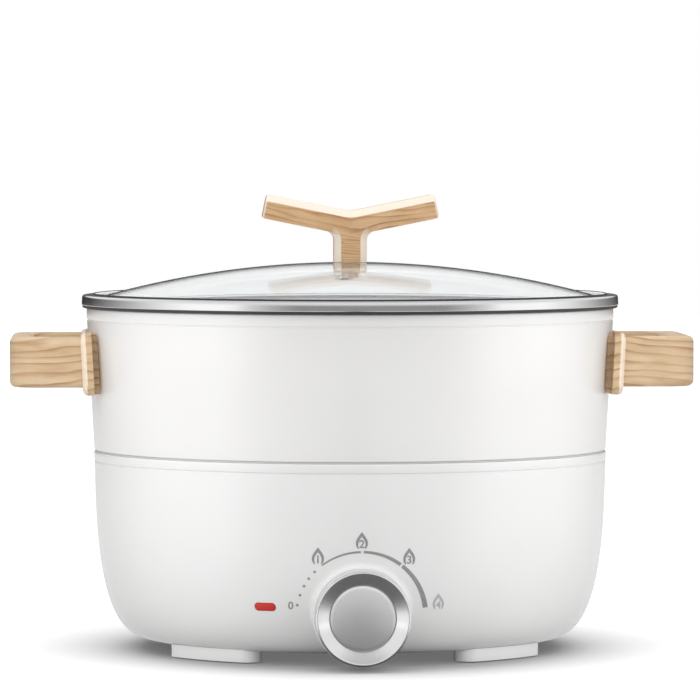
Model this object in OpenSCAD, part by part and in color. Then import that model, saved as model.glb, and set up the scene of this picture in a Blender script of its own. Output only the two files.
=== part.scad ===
// Electric hot pot. A cast pot with a glass lid stands in a round base with a heating plate.
// Millimetres, +Z up. The origin lies on the counter, under the axis of the pot.
// The dial faces -Y, the loop handles point along +X and -X, the power inlet faces +Y.

/* [Pot] */
// Radius of the pot at its collar
pot_r = 147.2; // [140:0.2:154]
// How much narrower the pot is at the gap above the base
pot_taper = 4; // [2:0.2:6]
// Height of the pot's rim above the counter
rim_z = 190.8; // [186:0.2:196]
// Height of the collar below the rim
collar_h = 7.4; // [5:0.2:10]
// Wall of the cast pot
pot_wall = 3.5; // [3:0.1:4]
// Floor of the cast pot
pot_floor = 4; // [3:0.1:6]
// How far the lower part steps in at the gap to sink into the base
nest_in = 12.7; // [11.7:0.1:15]
// Rounding between the pot's floor and wall
nest_corner = 8; // [6:1:12]

/* [Base] */
// Height of the gap between pot and base
seam_z = 110.8; // [108:0.2:114]
// Width of that gap
seam_gap = 1; // [0.6:0.1:1.6]
// Wall of the plastic shell
shell_t = 2.8; // [2.4:0.1:3.2]
// Height of the shell's underside
belly_z = 6.5; // [6.2:0.1:8]
// How far the flat underside stays inside the side of the shell
belly_in = 30.2; // [28:0.2:32]
// How far the rounding of the underside stays inside the side of the shell
turn_in = 8.2; // [6.2:0.2:10.2]
// Height up to which the side keeps rounding
bulge_z = 41; // [36:1:46]
// Height of the plain band along the top of the base
band_h = 6; // [4:0.5:8]
// Top of the heating plate
plate_z = 58; // [56:0.5:60]
// How far the heating plate stays inside the pot's lower part
plate_in = 45.5; // [43.5:0.5:50.5]

/* [Feet] */
// How far the arc-shaped feet stand out from the flat underside
foot_out = 6.5; // [4.5:0.5:9]
// Width of a foot across its arc
foot_w = 16; // [14:0.5:18]
// Angle between the middles of a foot's round ends
foot_span = 23.5; // [18:0.5:30]
// Angle from the dial's middle plane to the middle of a foot
foot_at = 44.5; // [41:0.5:47]
// Height of a rubber pad below its foot
pad_out = 0.5; // [0.3:0.1:0.9]

/* [Handles] */
// How far a loop handle stands out from the collar
handle_out = 42.4; // [38:0.2:52]
// Width of a loop handle along the pot
handle_w = 94; // [84:1:104]
// Distance from the rim down to the middle of the loop handles
handle_drop = 29.6; // [27.6:0.2:33]
// Height of a handle's bar
bar_h = 28; // [24:0.5:32]
// Thickness of a handle's bar
bar_t = 13; // [11:0.5:15]
// Thickness of the plate that a handle is fixed by
flange_t = 5.5; // [4.5:0.5:7]

/* [Lid] */
// How far the steel rim stands out over the collar
lid_over = 2.8; // [1.8:0.2:4.8]
// Height of the steel rim
lid_h = 6.6; // [6.4:0.1:8]
// Thickness of the glass
glass_t = 3.5; // [3:0.1:4]
// Height of the glass dome above its edge
dome_rise = 19.2; // [14:0.2:26]
// Width of the forked lid handle
fork_w = 99; // [84:1:110]
// Depth of the lid handle from front to back
fork_d = 20; // [17:0.5:26]
// Thickness of the fork's arms
fork_t = 13.6; // [11:0.2:16]
// Rise of the fork's arms in degrees
fork_tilt = 11.4; // [6:0.2:16]
// Width of the lid handle's stem
stem_w = 18.4; // [15:0.2:22]
// Height of the stem up to the arms
stem_h = 16; // [13:0.5:22]

/* [Dial] */
// Radius of the knob
knob_r = 25.4; // [22:0.2:25.6]
// Depth of the knob
knob_d = 17; // [15:0.5:20]
// Height of the knob's axis
knob_z = 28.8; // [28.4:0.2:31]
// How far the face of the knob's seat stays inside the side of the shell
seat_in = 0.7; // [0:0.1:1.2]
// Angle from the dial to the pilot lamp
lamp_at = 22.1; // [20:0.5:30]
// Width of the pilot lamp
lamp_w = 12.5; // [10:0.5:16]
// Height of the pilot lamp
lamp_h = 5; // [4:0.2:6]

/* [Hidden] */
$fn = 64;
spin_fn = 180;
slack = 0.15;
rest_gap = 0.1;
run_gap = 0.06;

// Plastic colours, metals, wood-look resin
white = [0.93, 0.93, 0.92];
warm_white = [0.94, 0.92, 0.9];
wood = [0.82, 0.68, 0.5];
steel = [0.72, 0.72, 0.73];
alloy = [0.8, 0.8, 0.82];
black = [0.12, 0.12, 0.13];

// Radii and places that follow the pot
seam_r = pot_r - pot_taper;
nest_r = seam_r - nest_in;
belly_r = seam_r - belly_in;
turn_r = seam_r - turn_in;
plate_r = nest_r - plate_in;
foot_r = belly_r + foot_out;
lid_r = pot_r + lid_over;
handle_reach = pot_r + handle_out;
handle_z = rim_z - handle_drop;
seat_y = seam_r - seat_in;

// Small screws: thread, blind hole, clearance hole, head and its cross slot
thread_r = 1.5;
hole_r = 1.6;
pass_r = 1.8;
head_r = 3.3;
head_h = 2;
slot_w = 0.8;

// Heights around the seam
base_top = seam_z - seam_gap / 2;
shoulder_z = seam_z + seam_gap / 2;
band_z = base_top - band_h;
line_z = rim_z - collar_h;
groove = 0.5;

// Liner, the sheet tub that the pot sinks into
liner_gap = 1.9;
liner_t = 1;
liner_r = nest_r + liner_gap;
liner_out = liner_r + liner_t;
liner_floor = plate_z - 8;
flange_top = base_top - 1;
ledge_z = flange_top - liner_t;
ledge_r = liner_out + 1.5;
liner_room = 0.8;
liner_hole = plate_r + 5;

// Heating plate, the pan below it and what holds them
plate_t = 10;
plate_low = plate_z - plate_t;
rib_h = 4;
coil_r = plate_r - 19;
coil_rib = 7;
coil_d = 7;
coil_z = plate_low - 3;
coil_gap = 14;
pan_r = liner_hole + 2;
pan_lip = 12;
pan_top = liner_floor - liner_t;
pan_z = plate_low - 18;
pan_t = 1;
pan_eye = 24;
post_r = plate_r - 40;
post_hole = 2.2;
clip_x = 12;
rivet_r = pan_r + 6;
rivet_hole = 1.7;
leg_z = pan_z + 3;
tab_z = pan_z - 9;

// Bottom cover and its screws
cover_t = 2.6;
cover_r = belly_r - 12.4;
cover_hole = cover_r - 10;
cover_screw_r = cover_r - 5;
slot_r = cover_hole - 32.6;
slot_l = slot_r * 0.55;
lip_top = belly_z + 2 * shell_t;
boss_top = lip_top + 8;
boss_r = 5;
pillar_z = belly_z + shell_t + 2.5;
pillar_h = pan_top - pillar_z;

// Feet
foot_mid = foot_r - foot_w / 2;
pad_z = pad_out + 1.5;
pad_in = foot_r - foot_w + 2.5;
pad_end = foot_r - 2.5;
pad_slack = 0.3;
foot_head_z = pad_z + 2.4;

// Pot wall and the lugs that carry the handles
lean = atan((pot_r - seam_r) / (line_z - shoulder_z));
function wall_r(z) = seam_r + (pot_r - seam_r) * (z - shoulder_z) / (line_z - shoulder_z);
lug_x = wall_r(handle_z) - 2.3;
flange_w = handle_w + 6;
flange_h = bar_h + 8.6;
loop_corner = bar_t + 2;
bar_round = 4;
edge = 2;
stud_y = handle_w * 0.21;
stud_r = 2.5;

// Lid
lid_z = rim_z + rest_gap;
rim_t = 0.8;
seal_t = 1;
skirt_r = pot_r - pot_wall - 1.1;
skirt_h = 3.4;
glass_z = lid_z + rim_t + seal_t;
glass_top = glass_z + glass_t;
glass_r = lid_r - 3;
dome_r = glass_r - 7.5;
dome_c = (dome_r * dome_r + dome_rise * dome_rise) / (2 * dome_rise);
dome_z = glass_top + dome_rise;
dome_mid = dome_z - dome_c;
under_z = dome_z - glass_t;
stem_z = dome_z + 0.6;
fork_low = stem_z + stem_h;
fork_z = fork_low + fork_t / cos(fork_tilt) - stem_w / 2 * tan(fork_tilt);
screw_r = 2.5;
vent_at = 8;
vent_r = 3.9;

// Dial
seat_r = knob_r + 0.9;
seat_t = 3;
knob_back = seat_y + 1;
knob_front = knob_back + knob_d;
dish_d = 4.6;
cap_r = 17.5;
shaft_r = 3;
bush_r = 4.9;
nut_t = 2.5;
switch_w = 32;
switch_d = 21;
switch_front = seat_y - seat_t - 0.1;
switch_back = switch_front - switch_d;
tag_l = 8;
tag_x = 10;
tag_y = 8;

// Pilot lamp, placed by its share of the side curve
lamp_u = 0.512;

// Power inlet
inlet_z = 36;
inlet_y = seat_y - 1;
inlet_w = 28;
inlet_wall = 1.8;
inlet_h = 20;
inlet_d = 21;
ear_w = 48;
ear_t = 2.5;
ear_x = ear_w / 2 - 5;
pin_gap = 7;
pin_off = 4;
pin_w = 2;
pin_h = 4;

// One point of the shell's side curve, taken in by t
function side(u, t) =
    let(a = [belly_r, belly_z + t])
    let(b = [turn_r - t, belly_z + t])
    let(c = [seam_r - 0.7 - t, bulge_z])
    let(d = [seam_r - 0.3 - t, band_z])
    let(v = 1 - u)
    v * v * v * a + 3 * v * v * u * b + 3 * v * u * u * c + u * u * u * d;
function side_curve(t) = [for (i = [0:28]) side(i / 28, t)];
function turned(list) = [for (i = [len(list) - 1:-1:0]) list[i]];
function arc(c, r, from, to, n) = [
    for (i = [0:n]) c + r * [cos(from + (to - from) * i / n), sin(from + (to - from) * i / n)]
];

module spin(points) {
    rotate_extrude($fn = spin_fn) polygon(points);
}

// Rectangle with round corners, built from plain pieces so that its corners stay true arcs
module soft_rect(w, h, r) {
    square([w - 2 * r, h], center = true);
    square([w, h - 2 * r], center = true);
    for (x = [-1, 1])
        for (y = [-1, 1])
            translate([x * (w / 2 - r), y * (h / 2 - r)]) circle(r, $fn = 48);
}

// Lays a flat drawing upright, its x along Y and its thickness along +X
module upright(t) {
    rotate([90, 0, 90]) linear_extrude(t) children();
}

// Turns a drawing made along +Z to face the front at the dial
module at_dial() {
    translate([0, 0, knob_z]) rotate([90, 0, 0]) children();
}

module at_feet() {
    for (a = [foot_at, -foot_at, 180 - foot_at, 180 + foot_at]) rotate([0, 0, a]) children();
}

// The point where the lamp sits on the shell, +Z out of the wall
module at_lamp() {
    p = side(lamp_u, 0);
    q = side(lamp_u + 0.01, 0) - side(lamp_u - 0.01, 0);
    rotate([0, 0, -lamp_at]) translate([0, -p[0], p[1]])
        rotate([90 + atan2(q[0], q[1]), 0, 0]) children();
}

// Six places on a circle, and three
module six(r, first) {
    for (a = [first:60:first + 300]) rotate([0, 0, a]) translate([r, 0, 0]) children();
}

module three(r) {
    for (a = [30, 150, 270]) rotate([0, 0, a]) translate([r, 0, 0]) children();
}

// Cross-head screw driven along +Z, the seat of its head at z = 0
module screw(length) {
    difference() {
        union() {
            translate([0, 0, -head_h]) cylinder(h = head_h, r = head_r);
            translate([0, 0, -head_h / 2]) cylinder(h = length + head_h / 2, r = thread_r);
        }
        for (b = [0, 90]) rotate([0, 0, b])
            translate([-0.6 * head_r, -slot_w / 2, -head_h - 1]) cube([1.2 * head_r, slot_w, 2]);
    }
}

module at_lug() {
    translate([lug_x, 0, handle_z]) rotate([0, lean, 0]) children();
}

// Wire along a route of points, round at its bends
module wire(points, r) {
    for (i = [0:len(points) - 2]) {
        d = points[i + 1] - points[i];
        translate(points[i])
            rotate([0, atan2(norm([d[0], d[1]]), d[2]), atan2(d[1], d[0])])
            cylinder(h = norm(d), r = r, $fn = 24);
        if (i > 0) translate(points[i]) sphere(1.1 * r, $fn = 24);
    }
}

module base_shell() {
    color(white) difference() {
        union() {
            spin(concat(
                side_curve(0),
                [[seam_r - groove, band_z + 0.3], [seam_r - groove, band_z + 0.6], [seam_r, band_z + 1]],
                arc([seam_r - 0.8, base_top - 0.8], 0.8, 0, 90, 5),
                [[seam_r - shell_t, base_top], [seam_r - shell_t, ledge_z], [ledge_r, ledge_z],
                 [ledge_r, ledge_z - 2]],
                [[seam_r - 0.3 - shell_t, ledge_z - 2 - (seam_r - shell_t - ledge_r)]],
                turned([for (i = [0:2:26]) side(i / 28, shell_t)]),
                [[cover_r + 3, belly_z + shell_t], [cover_r + 3, lip_top], [cover_hole, lip_top],
                 [cover_hole, belly_z + shell_t], [cover_r + 0.4, belly_z + shell_t],
                 [cover_r + 0.4, belly_z]]
            ));
            at_dial() translate([0, 0, belly_r]) cylinder(h = seat_y - belly_r, r = seat_r, $fn = 96);
            translate([0, belly_r, inlet_z]) rotate([-90, 0, 0]) linear_extrude(inlet_y - belly_r)
                soft_rect(ear_w + 6, inlet_h + 14, 6);
            at_feet() translate([0, -foot_mid, belly_z + 1])
                cylinder(h = pillar_z - belly_z - 1, r = boss_r + 1);
            six(cover_screw_r, 30) translate([0, 0, lip_top - 1]) cylinder(h = boss_top - lip_top + 1, r = 4);
        }
        intersection() {
            at_dial() translate([0, 0, belly_r - 10])
                cylinder(h = seat_y - seat_t - belly_r + 10, r = seat_r - shell_t);
            translate([-seat_r, -seat_y, belly_z + shell_t]) cube([2 * seat_r, seat_y, 2 * seat_r]);
        }
        translate([0, 0, pan_top]) cylinder(h = base_top, r = liner_out + liner_room, $fn = spin_fn);
        at_dial() cylinder(h = seat_y + 1, r = bush_r + slack);
        translate([0, belly_r - 10, inlet_z]) rotate([-90, 0, 0]) linear_extrude(inlet_y - 3 - belly_r + 10)
            soft_rect(ear_w, inlet_h + 8, 3);
        translate([-inlet_w / 2 - slack, inlet_y - 5, inlet_z - inlet_h / 2 - slack])
            cube([inlet_w + 2 * slack, 10, inlet_h + 2 * slack]);
        for (x = [-ear_x, ear_x]) translate([x, inlet_y - 5, inlet_z]) rotate([-90, 0, 0])
            cylinder(h = 10, r = hole_r);
        at_lamp() translate([0, 0, -6]) linear_extrude(12)
            soft_rect(lamp_w + 0.4, lamp_h + 0.4, lamp_h / 2 + 0.1);
        at_feet() translate([0, -foot_mid, belly_z - 1]) cylinder(h = 13, r = pass_r);
        six(cover_screw_r, 30) translate([0, 0, belly_z]) cylinder(h = boss_top - belly_z - 1, r = hole_r);
    }
}

module bottom_cover() {
    color(white) difference() {
        translate([0, 0, belly_z]) cylinder(h = cover_t, r = cover_r, $fn = spin_fn);
        six(cover_screw_r, 30) cylinder(h = belly_z + cover_t + 1, r = pass_r);
        for (a = [0:20:340]) rotate([0, 0, a]) translate([slot_r, 0, 0])
            linear_extrude(belly_z + cover_t + 1) soft_rect(slot_l, 3.6, 1.7);
        for (a = [0:30:330]) rotate([0, 0, a]) translate([0.45 * slot_r, 0, 0])
            linear_extrude(belly_z + cover_t + 1) soft_rect(0.62 * slot_l, 3.6, 1.7);
    }
}

module bottom_screws() {
    color(steel) six(cover_screw_r, 30) translate([0, 0, belly_z]) screw(8.5);
}

// Sector of a ring between two radii with round ends, centred on -Y
module arc_block(r_in, r_out, span, h) {
    a = span / 2;
    mid = (r_in + r_out) / 2;
    end = (r_out - r_in) / 2;
    linear_extrude(h) rotate(-90) polygon(concat(
        arc([0, 0], r_out, -a, a, 12),
        arc(mid * [cos(a), sin(a)], end, a + 15, a + 165, 10),
        arc([0, 0], r_in, a, -a, 12),
        arc(mid * [cos(a), -sin(a)], end, 195 - a, 345 - a, 10)
    ));
}

module foot() {
    difference() {
        translate([0, 0, pad_out]) arc_block(foot_r - foot_w, foot_r, foot_span, 20);
        rotate_extrude($fn = spin_fn) polygon(concat(
            [[1, 60], [1, belly_z - slack]], side_curve(-slack), [[seam_r, 60]]));
        translate([0, 0, -1]) arc_block(pad_in, pad_end, foot_span, pad_z + 1);
        translate([0, -foot_mid, 0]) cylinder(h = foot_head_z, r = head_r + 0.7);
        translate([0, -foot_mid, 0]) cylinder(h = 20, r = pass_r);
    }
}

module foot_front_right() {
    color(white) rotate([0, 0, foot_at]) foot();
}

module foot_front_left() {
    color(white) rotate([0, 0, -foot_at]) foot();
}

module foot_rear_right() {
    color(white) rotate([0, 0, 180 - foot_at]) foot();
}

module foot_rear_left() {
    color(white) rotate([0, 0, 180 + foot_at]) foot();
}

module foot_pads() {
    color(black) at_feet()
        arc_block(pad_in + pad_slack, pad_end - pad_slack, foot_span, pad_z - 0.1);
}

module foot_screws() {
    color(steel) at_feet() translate([0, -foot_mid, foot_head_z]) screw(10.5);
}

module inner_liner() {
    color(steel) difference() {
        spin([
            [liner_hole, liner_floor - liner_t], [liner_out - 3, liner_floor - liner_t],
            [liner_out, liner_floor + 2], [liner_out, ledge_z], [seam_r - shell_t - 0.4, ledge_z],
            [seam_r - shell_t - 0.4, flange_top], [liner_r + 0.8, flange_top], [liner_r, flange_top - 0.8],
            [liner_r, liner_floor + 2.4], [liner_out - 3.4, liner_floor], [liner_hole, liner_floor]
        ]);
        at_feet() translate([0, -foot_mid, 0]) cylinder(h = plate_z, r = pass_r);
        six(rivet_r, 0) cylinder(h = plate_z, r = rivet_hole);
    }
}

module liner_pillars() {
    color(black) at_feet() translate([0, -foot_mid, pillar_z]) difference() {
        cylinder(h = pillar_h, r = boss_r);
        translate([0, 0, -1]) cylinder(h = 8, r = hole_r);
        translate([0, 0, pillar_h - 12]) cylinder(h = 13, r = hole_r);
    }
}

module liner_screws() {
    color(steel) at_feet() translate([0, -foot_mid, liner_floor]) mirror([0, 0, 1]) screw(10);
}

module heat_pan() {
    color(alloy) difference() {
        spin([
            [pan_eye, pan_z - pan_t], [pan_r - 2, pan_z - pan_t], [pan_r + pan_t, pan_z + 2],
            [pan_r + pan_t, pan_top - pan_t], [pan_r + pan_lip, pan_top - pan_t], [pan_r + pan_lip, pan_top],
            [pan_r, pan_top], [pan_r, pan_z + 2.4], [pan_r - 2.4, pan_z], [pan_eye, pan_z]
        ]);
        six(rivet_r, 0) cylinder(h = plate_z, r = rivet_hole);
        three(post_r) cylinder(h = plate_z, r = post_hole);
        for (s = [-1, 1]) rotate([0, 0, -90 + s * coil_gap]) translate([coil_r, 0, 0])
            cylinder(h = pan_z + 1, r = coil_d / 2 + 1.5);
    }
}

module pan_rivets() {
    color(steel) six(rivet_r, 0) translate([0, 0, pan_top - pan_t]) {
        translate([0, 0, -1.2]) cylinder(h = 1.2, r = 2.8);
        translate([0, 0, -0.5]) cylinder(h = pan_t + liner_t + 1, r = rivet_hole - 0.1);
        translate([0, 0, pan_t + liner_t]) cylinder(h = 1.2, r = 2.8);
    }
}

module heating_plate() {
    color(alloy) difference() {
        union() {
            spin([
                [0, plate_low], [plate_r - 1, plate_low], [plate_r, plate_low + 1], [plate_r, plate_z - 1.5],
                [plate_r - 1.5, plate_z], [0, plate_z]
            ]);
            translate([0, 0, plate_low - rib_h]) rotate_extrude($fn = spin_fn)
                translate([coil_r - coil_rib, 0]) square([2 * coil_rib, rib_h + 1]);
            for (x = [-clip_x, clip_x]) translate([x, 0, plate_low - rib_h]) cylinder(h = rib_h + 1, r = 3.4);
        }
        translate([0, 0, coil_z]) rotate_extrude($fn = spin_fn) translate([coil_r, 0])
            circle(coil_d / 2 + 0.4, $fn = 48);
        three(post_r) translate([0, 0, plate_low - 1]) cylinder(h = 7, r = post_hole - 0.15);
        for (x = [-clip_x, clip_x]) translate([x, 0, plate_low - rib_h - 1])
            cylinder(h = 8, r = thread_r + 0.05);
    }
}

module heating_element() {
    color([0.35, 0.35, 0.37]) {
        translate([0, 0, coil_z])
            rotate_extrude(angle = 360 - 2 * coil_gap, start = -90 + coil_gap, $fn = spin_fn)
            translate([coil_r, 0]) circle(coil_d / 2, $fn = 48);
        for (s = [-1, 1]) rotate([0, 0, -90 + s * coil_gap]) translate([coil_r, 0, 0]) {
            translate([0, 0, leg_z]) cylinder(h = coil_z - leg_z, r = coil_d / 2, $fn = 48);
            translate([0, 0, coil_z]) sphere(coil_d / 2 + 0.2, $fn = 48);
        }
    }
}

module element_pins() {
    color(steel) for (s = [-1, 1]) rotate([0, 0, -90 + s * coil_gap]) translate([coil_r, 0, tab_z])
        cylinder(h = leg_z - tab_z, r = 1.8);
}

module plate_posts() {
    color(steel) three(post_r) translate([0, 0, pan_z]) difference() {
        cylinder(h = plate_low - pan_z, r = 5);
        translate([0, 0, -1]) cylinder(h = plate_low, r = post_hole);
    }
}

module plate_screws() {
    color(steel) three(post_r) translate([0, 0, pan_z - pan_t]) difference() {
        union() {
            translate([0, 0, -2.4]) cylinder(h = 2.4, r = 3.6);
            translate([0, 0, -1]) cylinder(h = plate_low - pan_z + 7, r = post_hole - 0.2);
        }
        for (b = [0, 90]) rotate([0, 0, b]) translate([-2.2, -0.5, -3]) cube([4.4, 1, 1.8]);
    }
}

module limit_thermostat() {
    color(black) difference() {
        union() {
            translate([0, 0, plate_low - rib_h - 1]) cylinder(h = rib_h + 0.9, r = 8);
            translate([0, 0, plate_low - rib_h - 1.2]) linear_extrude(1.1) soft_rect(2 * clip_x + 8, 10, 4);
            translate([0, 0, plate_low - 15]) cylinder(h = 10, r = 7.5);
            for (x = [-4, 4]) translate([x - 0.4, -3, tab_z]) cube([0.8, 6, plate_low - 14 - tab_z]);
        }
        for (x = [-clip_x, clip_x]) translate([x, 0, 0]) cylinder(h = plate_z, r = pass_r - 0.1);
    }
}

module thermostat_screws() {
    color(steel) for (x = [-clip_x, clip_x]) translate([x, 0, plate_low - rib_h - 1.2]) screw(7);
}

module rotary_switch() {
    color(black) at_dial() difference() {
        union() {
            translate([0, 0, switch_back]) linear_extrude(switch_d) soft_rect(switch_w, switch_w, 2);
            translate([0, 0, switch_front - 1]) cylinder(h = seat_y + 5 - switch_front + 1, r = bush_r);
            for (x = [-tag_x, tag_x])
                for (y = [-tag_y, tag_y]) translate([x - 3, y - 0.4, switch_back - tag_l])
                    cube([6, 0.8, tag_l + 1]);
        }
        translate([0, 0, switch_back + 4]) cylinder(h = seat_y, r = shaft_r + run_gap);
    }
}

module switch_nut() {
    color(steel) at_dial() translate([0, 0, seat_y]) difference() {
        cylinder(h = nut_t, r = 8, $fn = 6);
        translate([0, 0, -1]) cylinder(h = nut_t + 2, r = bush_r + 0.1);
    }
}

module switch_shaft() {
    color(steel) at_dial() difference() {
        translate([0, 0, switch_back + 4.2])
            cylinder(h = knob_front - dish_d - 4.2 - switch_back - 4.2, r = shaft_r);
        translate([-5, shaft_r - 1, seat_y + 6]) cube([10, 5, 40]);
    }
}

module knob_core() {
    color(black) at_dial() difference() {
        union() {
            translate([0, 0, knob_back + 0.6]) cylinder(h = 7, r = knob_r - 2.2);
            translate([0, 0, knob_back + 6])
                cylinder(h = knob_front - dish_d - 3 - knob_back - 6, r = cap_r - 1);
        }
        translate([0, 0, knob_back]) cylinder(h = 6, r = 9);
        difference() {
            translate([0, 0, knob_back])
                cylinder(h = knob_front - dish_d - 4 - knob_back, r = shaft_r + run_gap);
            translate([-5, shaft_r - 1 + run_gap, knob_back + 6]) cube([10, 5, 40]);
        }
    }
}

module knob_ring() {
    color(steel) at_dial() rotate_extrude($fn = spin_fn) polygon([
        [knob_r - 2, knob_back], [knob_r - 0.4, knob_back], [knob_r, knob_back + 0.4],
        [knob_r, knob_front - 0.9], [knob_r - 0.3, knob_front - 0.3], [knob_r - 0.9, knob_front],
        [cap_r + 0.5, knob_front - dish_d], [cap_r + 0.5, knob_front - dish_d - 2.8],
        [cap_r - 0.8, knob_front - dish_d - 2.8], [cap_r - 0.8, knob_back + 7.8],
        [knob_r - 2, knob_back + 7.8]
    ]);
}

module knob_cap() {
    color(alloy) at_dial() translate([0, 0, knob_front - dish_d - 2.7])
        spin([[0, 0], [cap_r, 0], [cap_r, 2.2], [cap_r - 0.4, 2.6], [0, 2.9]]);
}

module lamp_lens() {
    color([0.85, 0.08, 0.06]) at_lamp() difference() {
        union() {
            translate([0, 0, -4.5]) linear_extrude(4.9) soft_rect(lamp_w, lamp_h, lamp_h / 2 - 0.1);
            translate([0, 0, -4.5]) linear_extrude(1.4) soft_rect(lamp_w + 3, lamp_h + 3, lamp_h / 2 + 1);
        }
        translate([0, 0, -5]) linear_extrude(3.6) soft_rect(lamp_w - 2.4, lamp_h - 2.4, lamp_h / 2 - 1.3);
    }
}

module lamp_holder() {
    color(white) at_lamp() difference() {
        translate([0, 0, -16]) linear_extrude(11.4) soft_rect(lamp_w + 3, lamp_h + 3, 3);
        translate([0, 0, -12]) linear_extrude(12) soft_rect(lamp_w - 1.6, lamp_h - 0.6, 1.8);
        for (x = [-2, 2]) translate([x, 0, -18]) cylinder(h = 8, r = 0.7, $fn = 24);
    }
}

module pilot_lamp() {
    color([0.95, 0.55, 0.3]) at_lamp() translate([-3.6, 0, -9]) {
        rotate([0, 90, 0]) cylinder(h = 7.2, r = 1.8, $fn = 32);
        sphere(1.8, $fn = 32);
        translate([7.2, 0, 0]) sphere(1.8, $fn = 32);
    }
}

// The three poles of the inlet, the middle one raised
module at_pins() {
    for (x = [-pin_gap, 0, pin_gap])
        translate([x, inlet_y - inlet_d, inlet_z + (x == 0 ? 1 : -1) * pin_off / 2]) children();
}

module power_inlet() {
    color(black) difference() {
        union() {
            translate([0, inlet_y, inlet_z]) rotate([-90, 0, 0]) linear_extrude(ear_t)
                soft_rect(ear_w, inlet_h + 6, 5);
            translate([-inlet_w / 2, inlet_y - inlet_d, inlet_z - inlet_h / 2])
                cube([inlet_w, inlet_d + 1, inlet_h]);
        }
        translate([0, inlet_y - inlet_d + 4, inlet_z]) rotate([-90, 0, 0]) linear_extrude(inlet_d + ear_t)
            soft_rect(inlet_w - 2 * inlet_wall, inlet_h - 2 * inlet_wall, 3);
        for (x = [-ear_x, ear_x]) translate([x, inlet_y - 1, inlet_z]) rotate([-90, 0, 0])
            cylinder(h = ear_t + 2, r = pass_r);
        at_pins() translate([-pin_w / 2 - 0.05, -1, -pin_h / 2 - 0.05]) cube([pin_w + 0.1, 8, pin_h + 0.1]);
    }
}

module inlet_pins() {
    color(steel) at_pins() translate([-pin_w / 2, -tag_l, -pin_h / 2])
        cube([pin_w, inlet_d + tag_l - 3, pin_h]);
}

module inlet_screws() {
    color(steel) for (x = [-ear_x, ear_x]) translate([x, inlet_y + ear_t, inlet_z])
        rotate([90, 0, 0]) screw(ear_t + 8);
}

// Where the leads end: the rear tags of inlet and switch, the coil's pins, the thermostat's tags
wire_r = 1.4;
wire_out = 3;
inlet_end = inlet_y - inlet_d - tag_l - 0.2;
switch_end = 0.2 + tag_l - switch_back;
under = tab_z - 0.1;
coil_x = coil_r * sin(coil_gap);
coil_y = -coil_r * cos(coil_gap);
duct_z = boss_top - 3;
run_y = 0.6 * coil_r;
earth_x = 0.2;
earth_y = pan_r - 14;

module lead_live() {
    color([0.55, 0.3, 0.15]) wire([
        [pin_gap, inlet_end, inlet_z - pin_off / 2], [pin_gap, inlet_end - wire_out, inlet_z - pin_off / 2],
        [pin_gap, inlet_end - 8, duct_z], [coil_r, run_y, duct_z], [coil_r, -run_y, duct_z],
        [tag_x, switch_end + 8, duct_z + 2], [tag_x, switch_end + wire_out, knob_z - tag_y],
        [tag_x, switch_end, knob_z - tag_y]
    ], wire_r);
}

module lead_switched() {
    color([0.12, 0.12, 0.12]) wire([
        [tag_x, switch_end, knob_z + tag_y], [tag_x, switch_end + wire_out, knob_z + tag_y],
        [tag_x + 2, switch_end + 8, knob_z + 2], [coil_x, coil_y - 6, duct_z],
        [coil_x, coil_y, under - 4], [coil_x, coil_y, under]
    ], wire_r);
}

module lead_neutral() {
    color([0.2, 0.35, 0.7]) wire([
        [-pin_gap, inlet_end, inlet_z - pin_off / 2], [-pin_gap, inlet_end - wire_out, inlet_z - pin_off / 2],
        [-pin_gap, inlet_end - 8, duct_z], [4, 30, duct_z], [4, 0, under - 4], [4, 0, under]
    ], wire_r);
}

module lead_return() {
    color([0.2, 0.35, 0.7]) wire([
        [-4, 0, under], [-4, 0, under - 4], [-coil_x, coil_y + 10, duct_z], [-coil_x, coil_y, under - 4],
        [-coil_x, coil_y, under]
    ], wire_r);
}

module lead_earth() {
    color([0.4, 0.65, 0.2]) wire([
        [earth_x, inlet_end, inlet_z + pin_off / 2], [earth_x, inlet_end - wire_out, inlet_z + pin_off / 2],
        [0, inlet_end - 8, inlet_z - 8], [0, earth_y, pan_z - pan_t - 5], [0, earth_y, pan_z - pan_t - 0.1]
    ], wire_r);
}

module pot_body() {
    color(warm_white) difference() {
        union() {
            spin(concat(
                [[0, plate_z + rest_gap]],
                arc([nest_r - nest_corner, plate_z + rest_gap + nest_corner], nest_corner, -90, 0, 12),
                [[nest_r, shoulder_z]],
                arc([seam_r - 0.8, shoulder_z + 0.8], 0.8, -90, 0, 5),
                [[pot_r - 0.02, line_z - 0.4], [pot_r - groove, line_z - 0.1], [pot_r - groove, line_z + 0.3],
                 [pot_r, line_z + 0.7]],
                arc([pot_r - 1, rim_z - 1], 1, 0, 90, 6),
                [[0, rim_z]]
            ));
            for (m = [0, 1]) mirror([m, 0, 0]) at_lug() {
                translate([-9, 0, 0]) upright(9) soft_rect(flange_w - 6, flange_h - 6, 5);
                for (y = [-1, 1]) translate([-4, y * stud_y, 0]) rotate([0, 90, 0])
                    cylinder(h = flange_t + 9, r = stud_r);
            }
        }
        spin(concat(
            [[0, plate_z + rest_gap + pot_floor]],
            arc([nest_r - nest_corner, plate_z + rest_gap + pot_floor + nest_corner - pot_wall],
                nest_corner - pot_wall, -90, 0, 10),
            arc([nest_r - pot_wall + 6, shoulder_z - 2.5], 6, 180, 90, 8),
            arc([seam_r - pot_wall - 6, shoulder_z + 9.5], 6, -90, 0, 8),
            [[pot_r - pot_wall, line_z], [pot_r - pot_wall, rim_z - 0.7], [pot_r - pot_wall + 0.7, rim_z],
             [pot_r - pot_wall + 0.7, rim_z + 1], [0, rim_z + 1]]
        ));
    }
}

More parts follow.
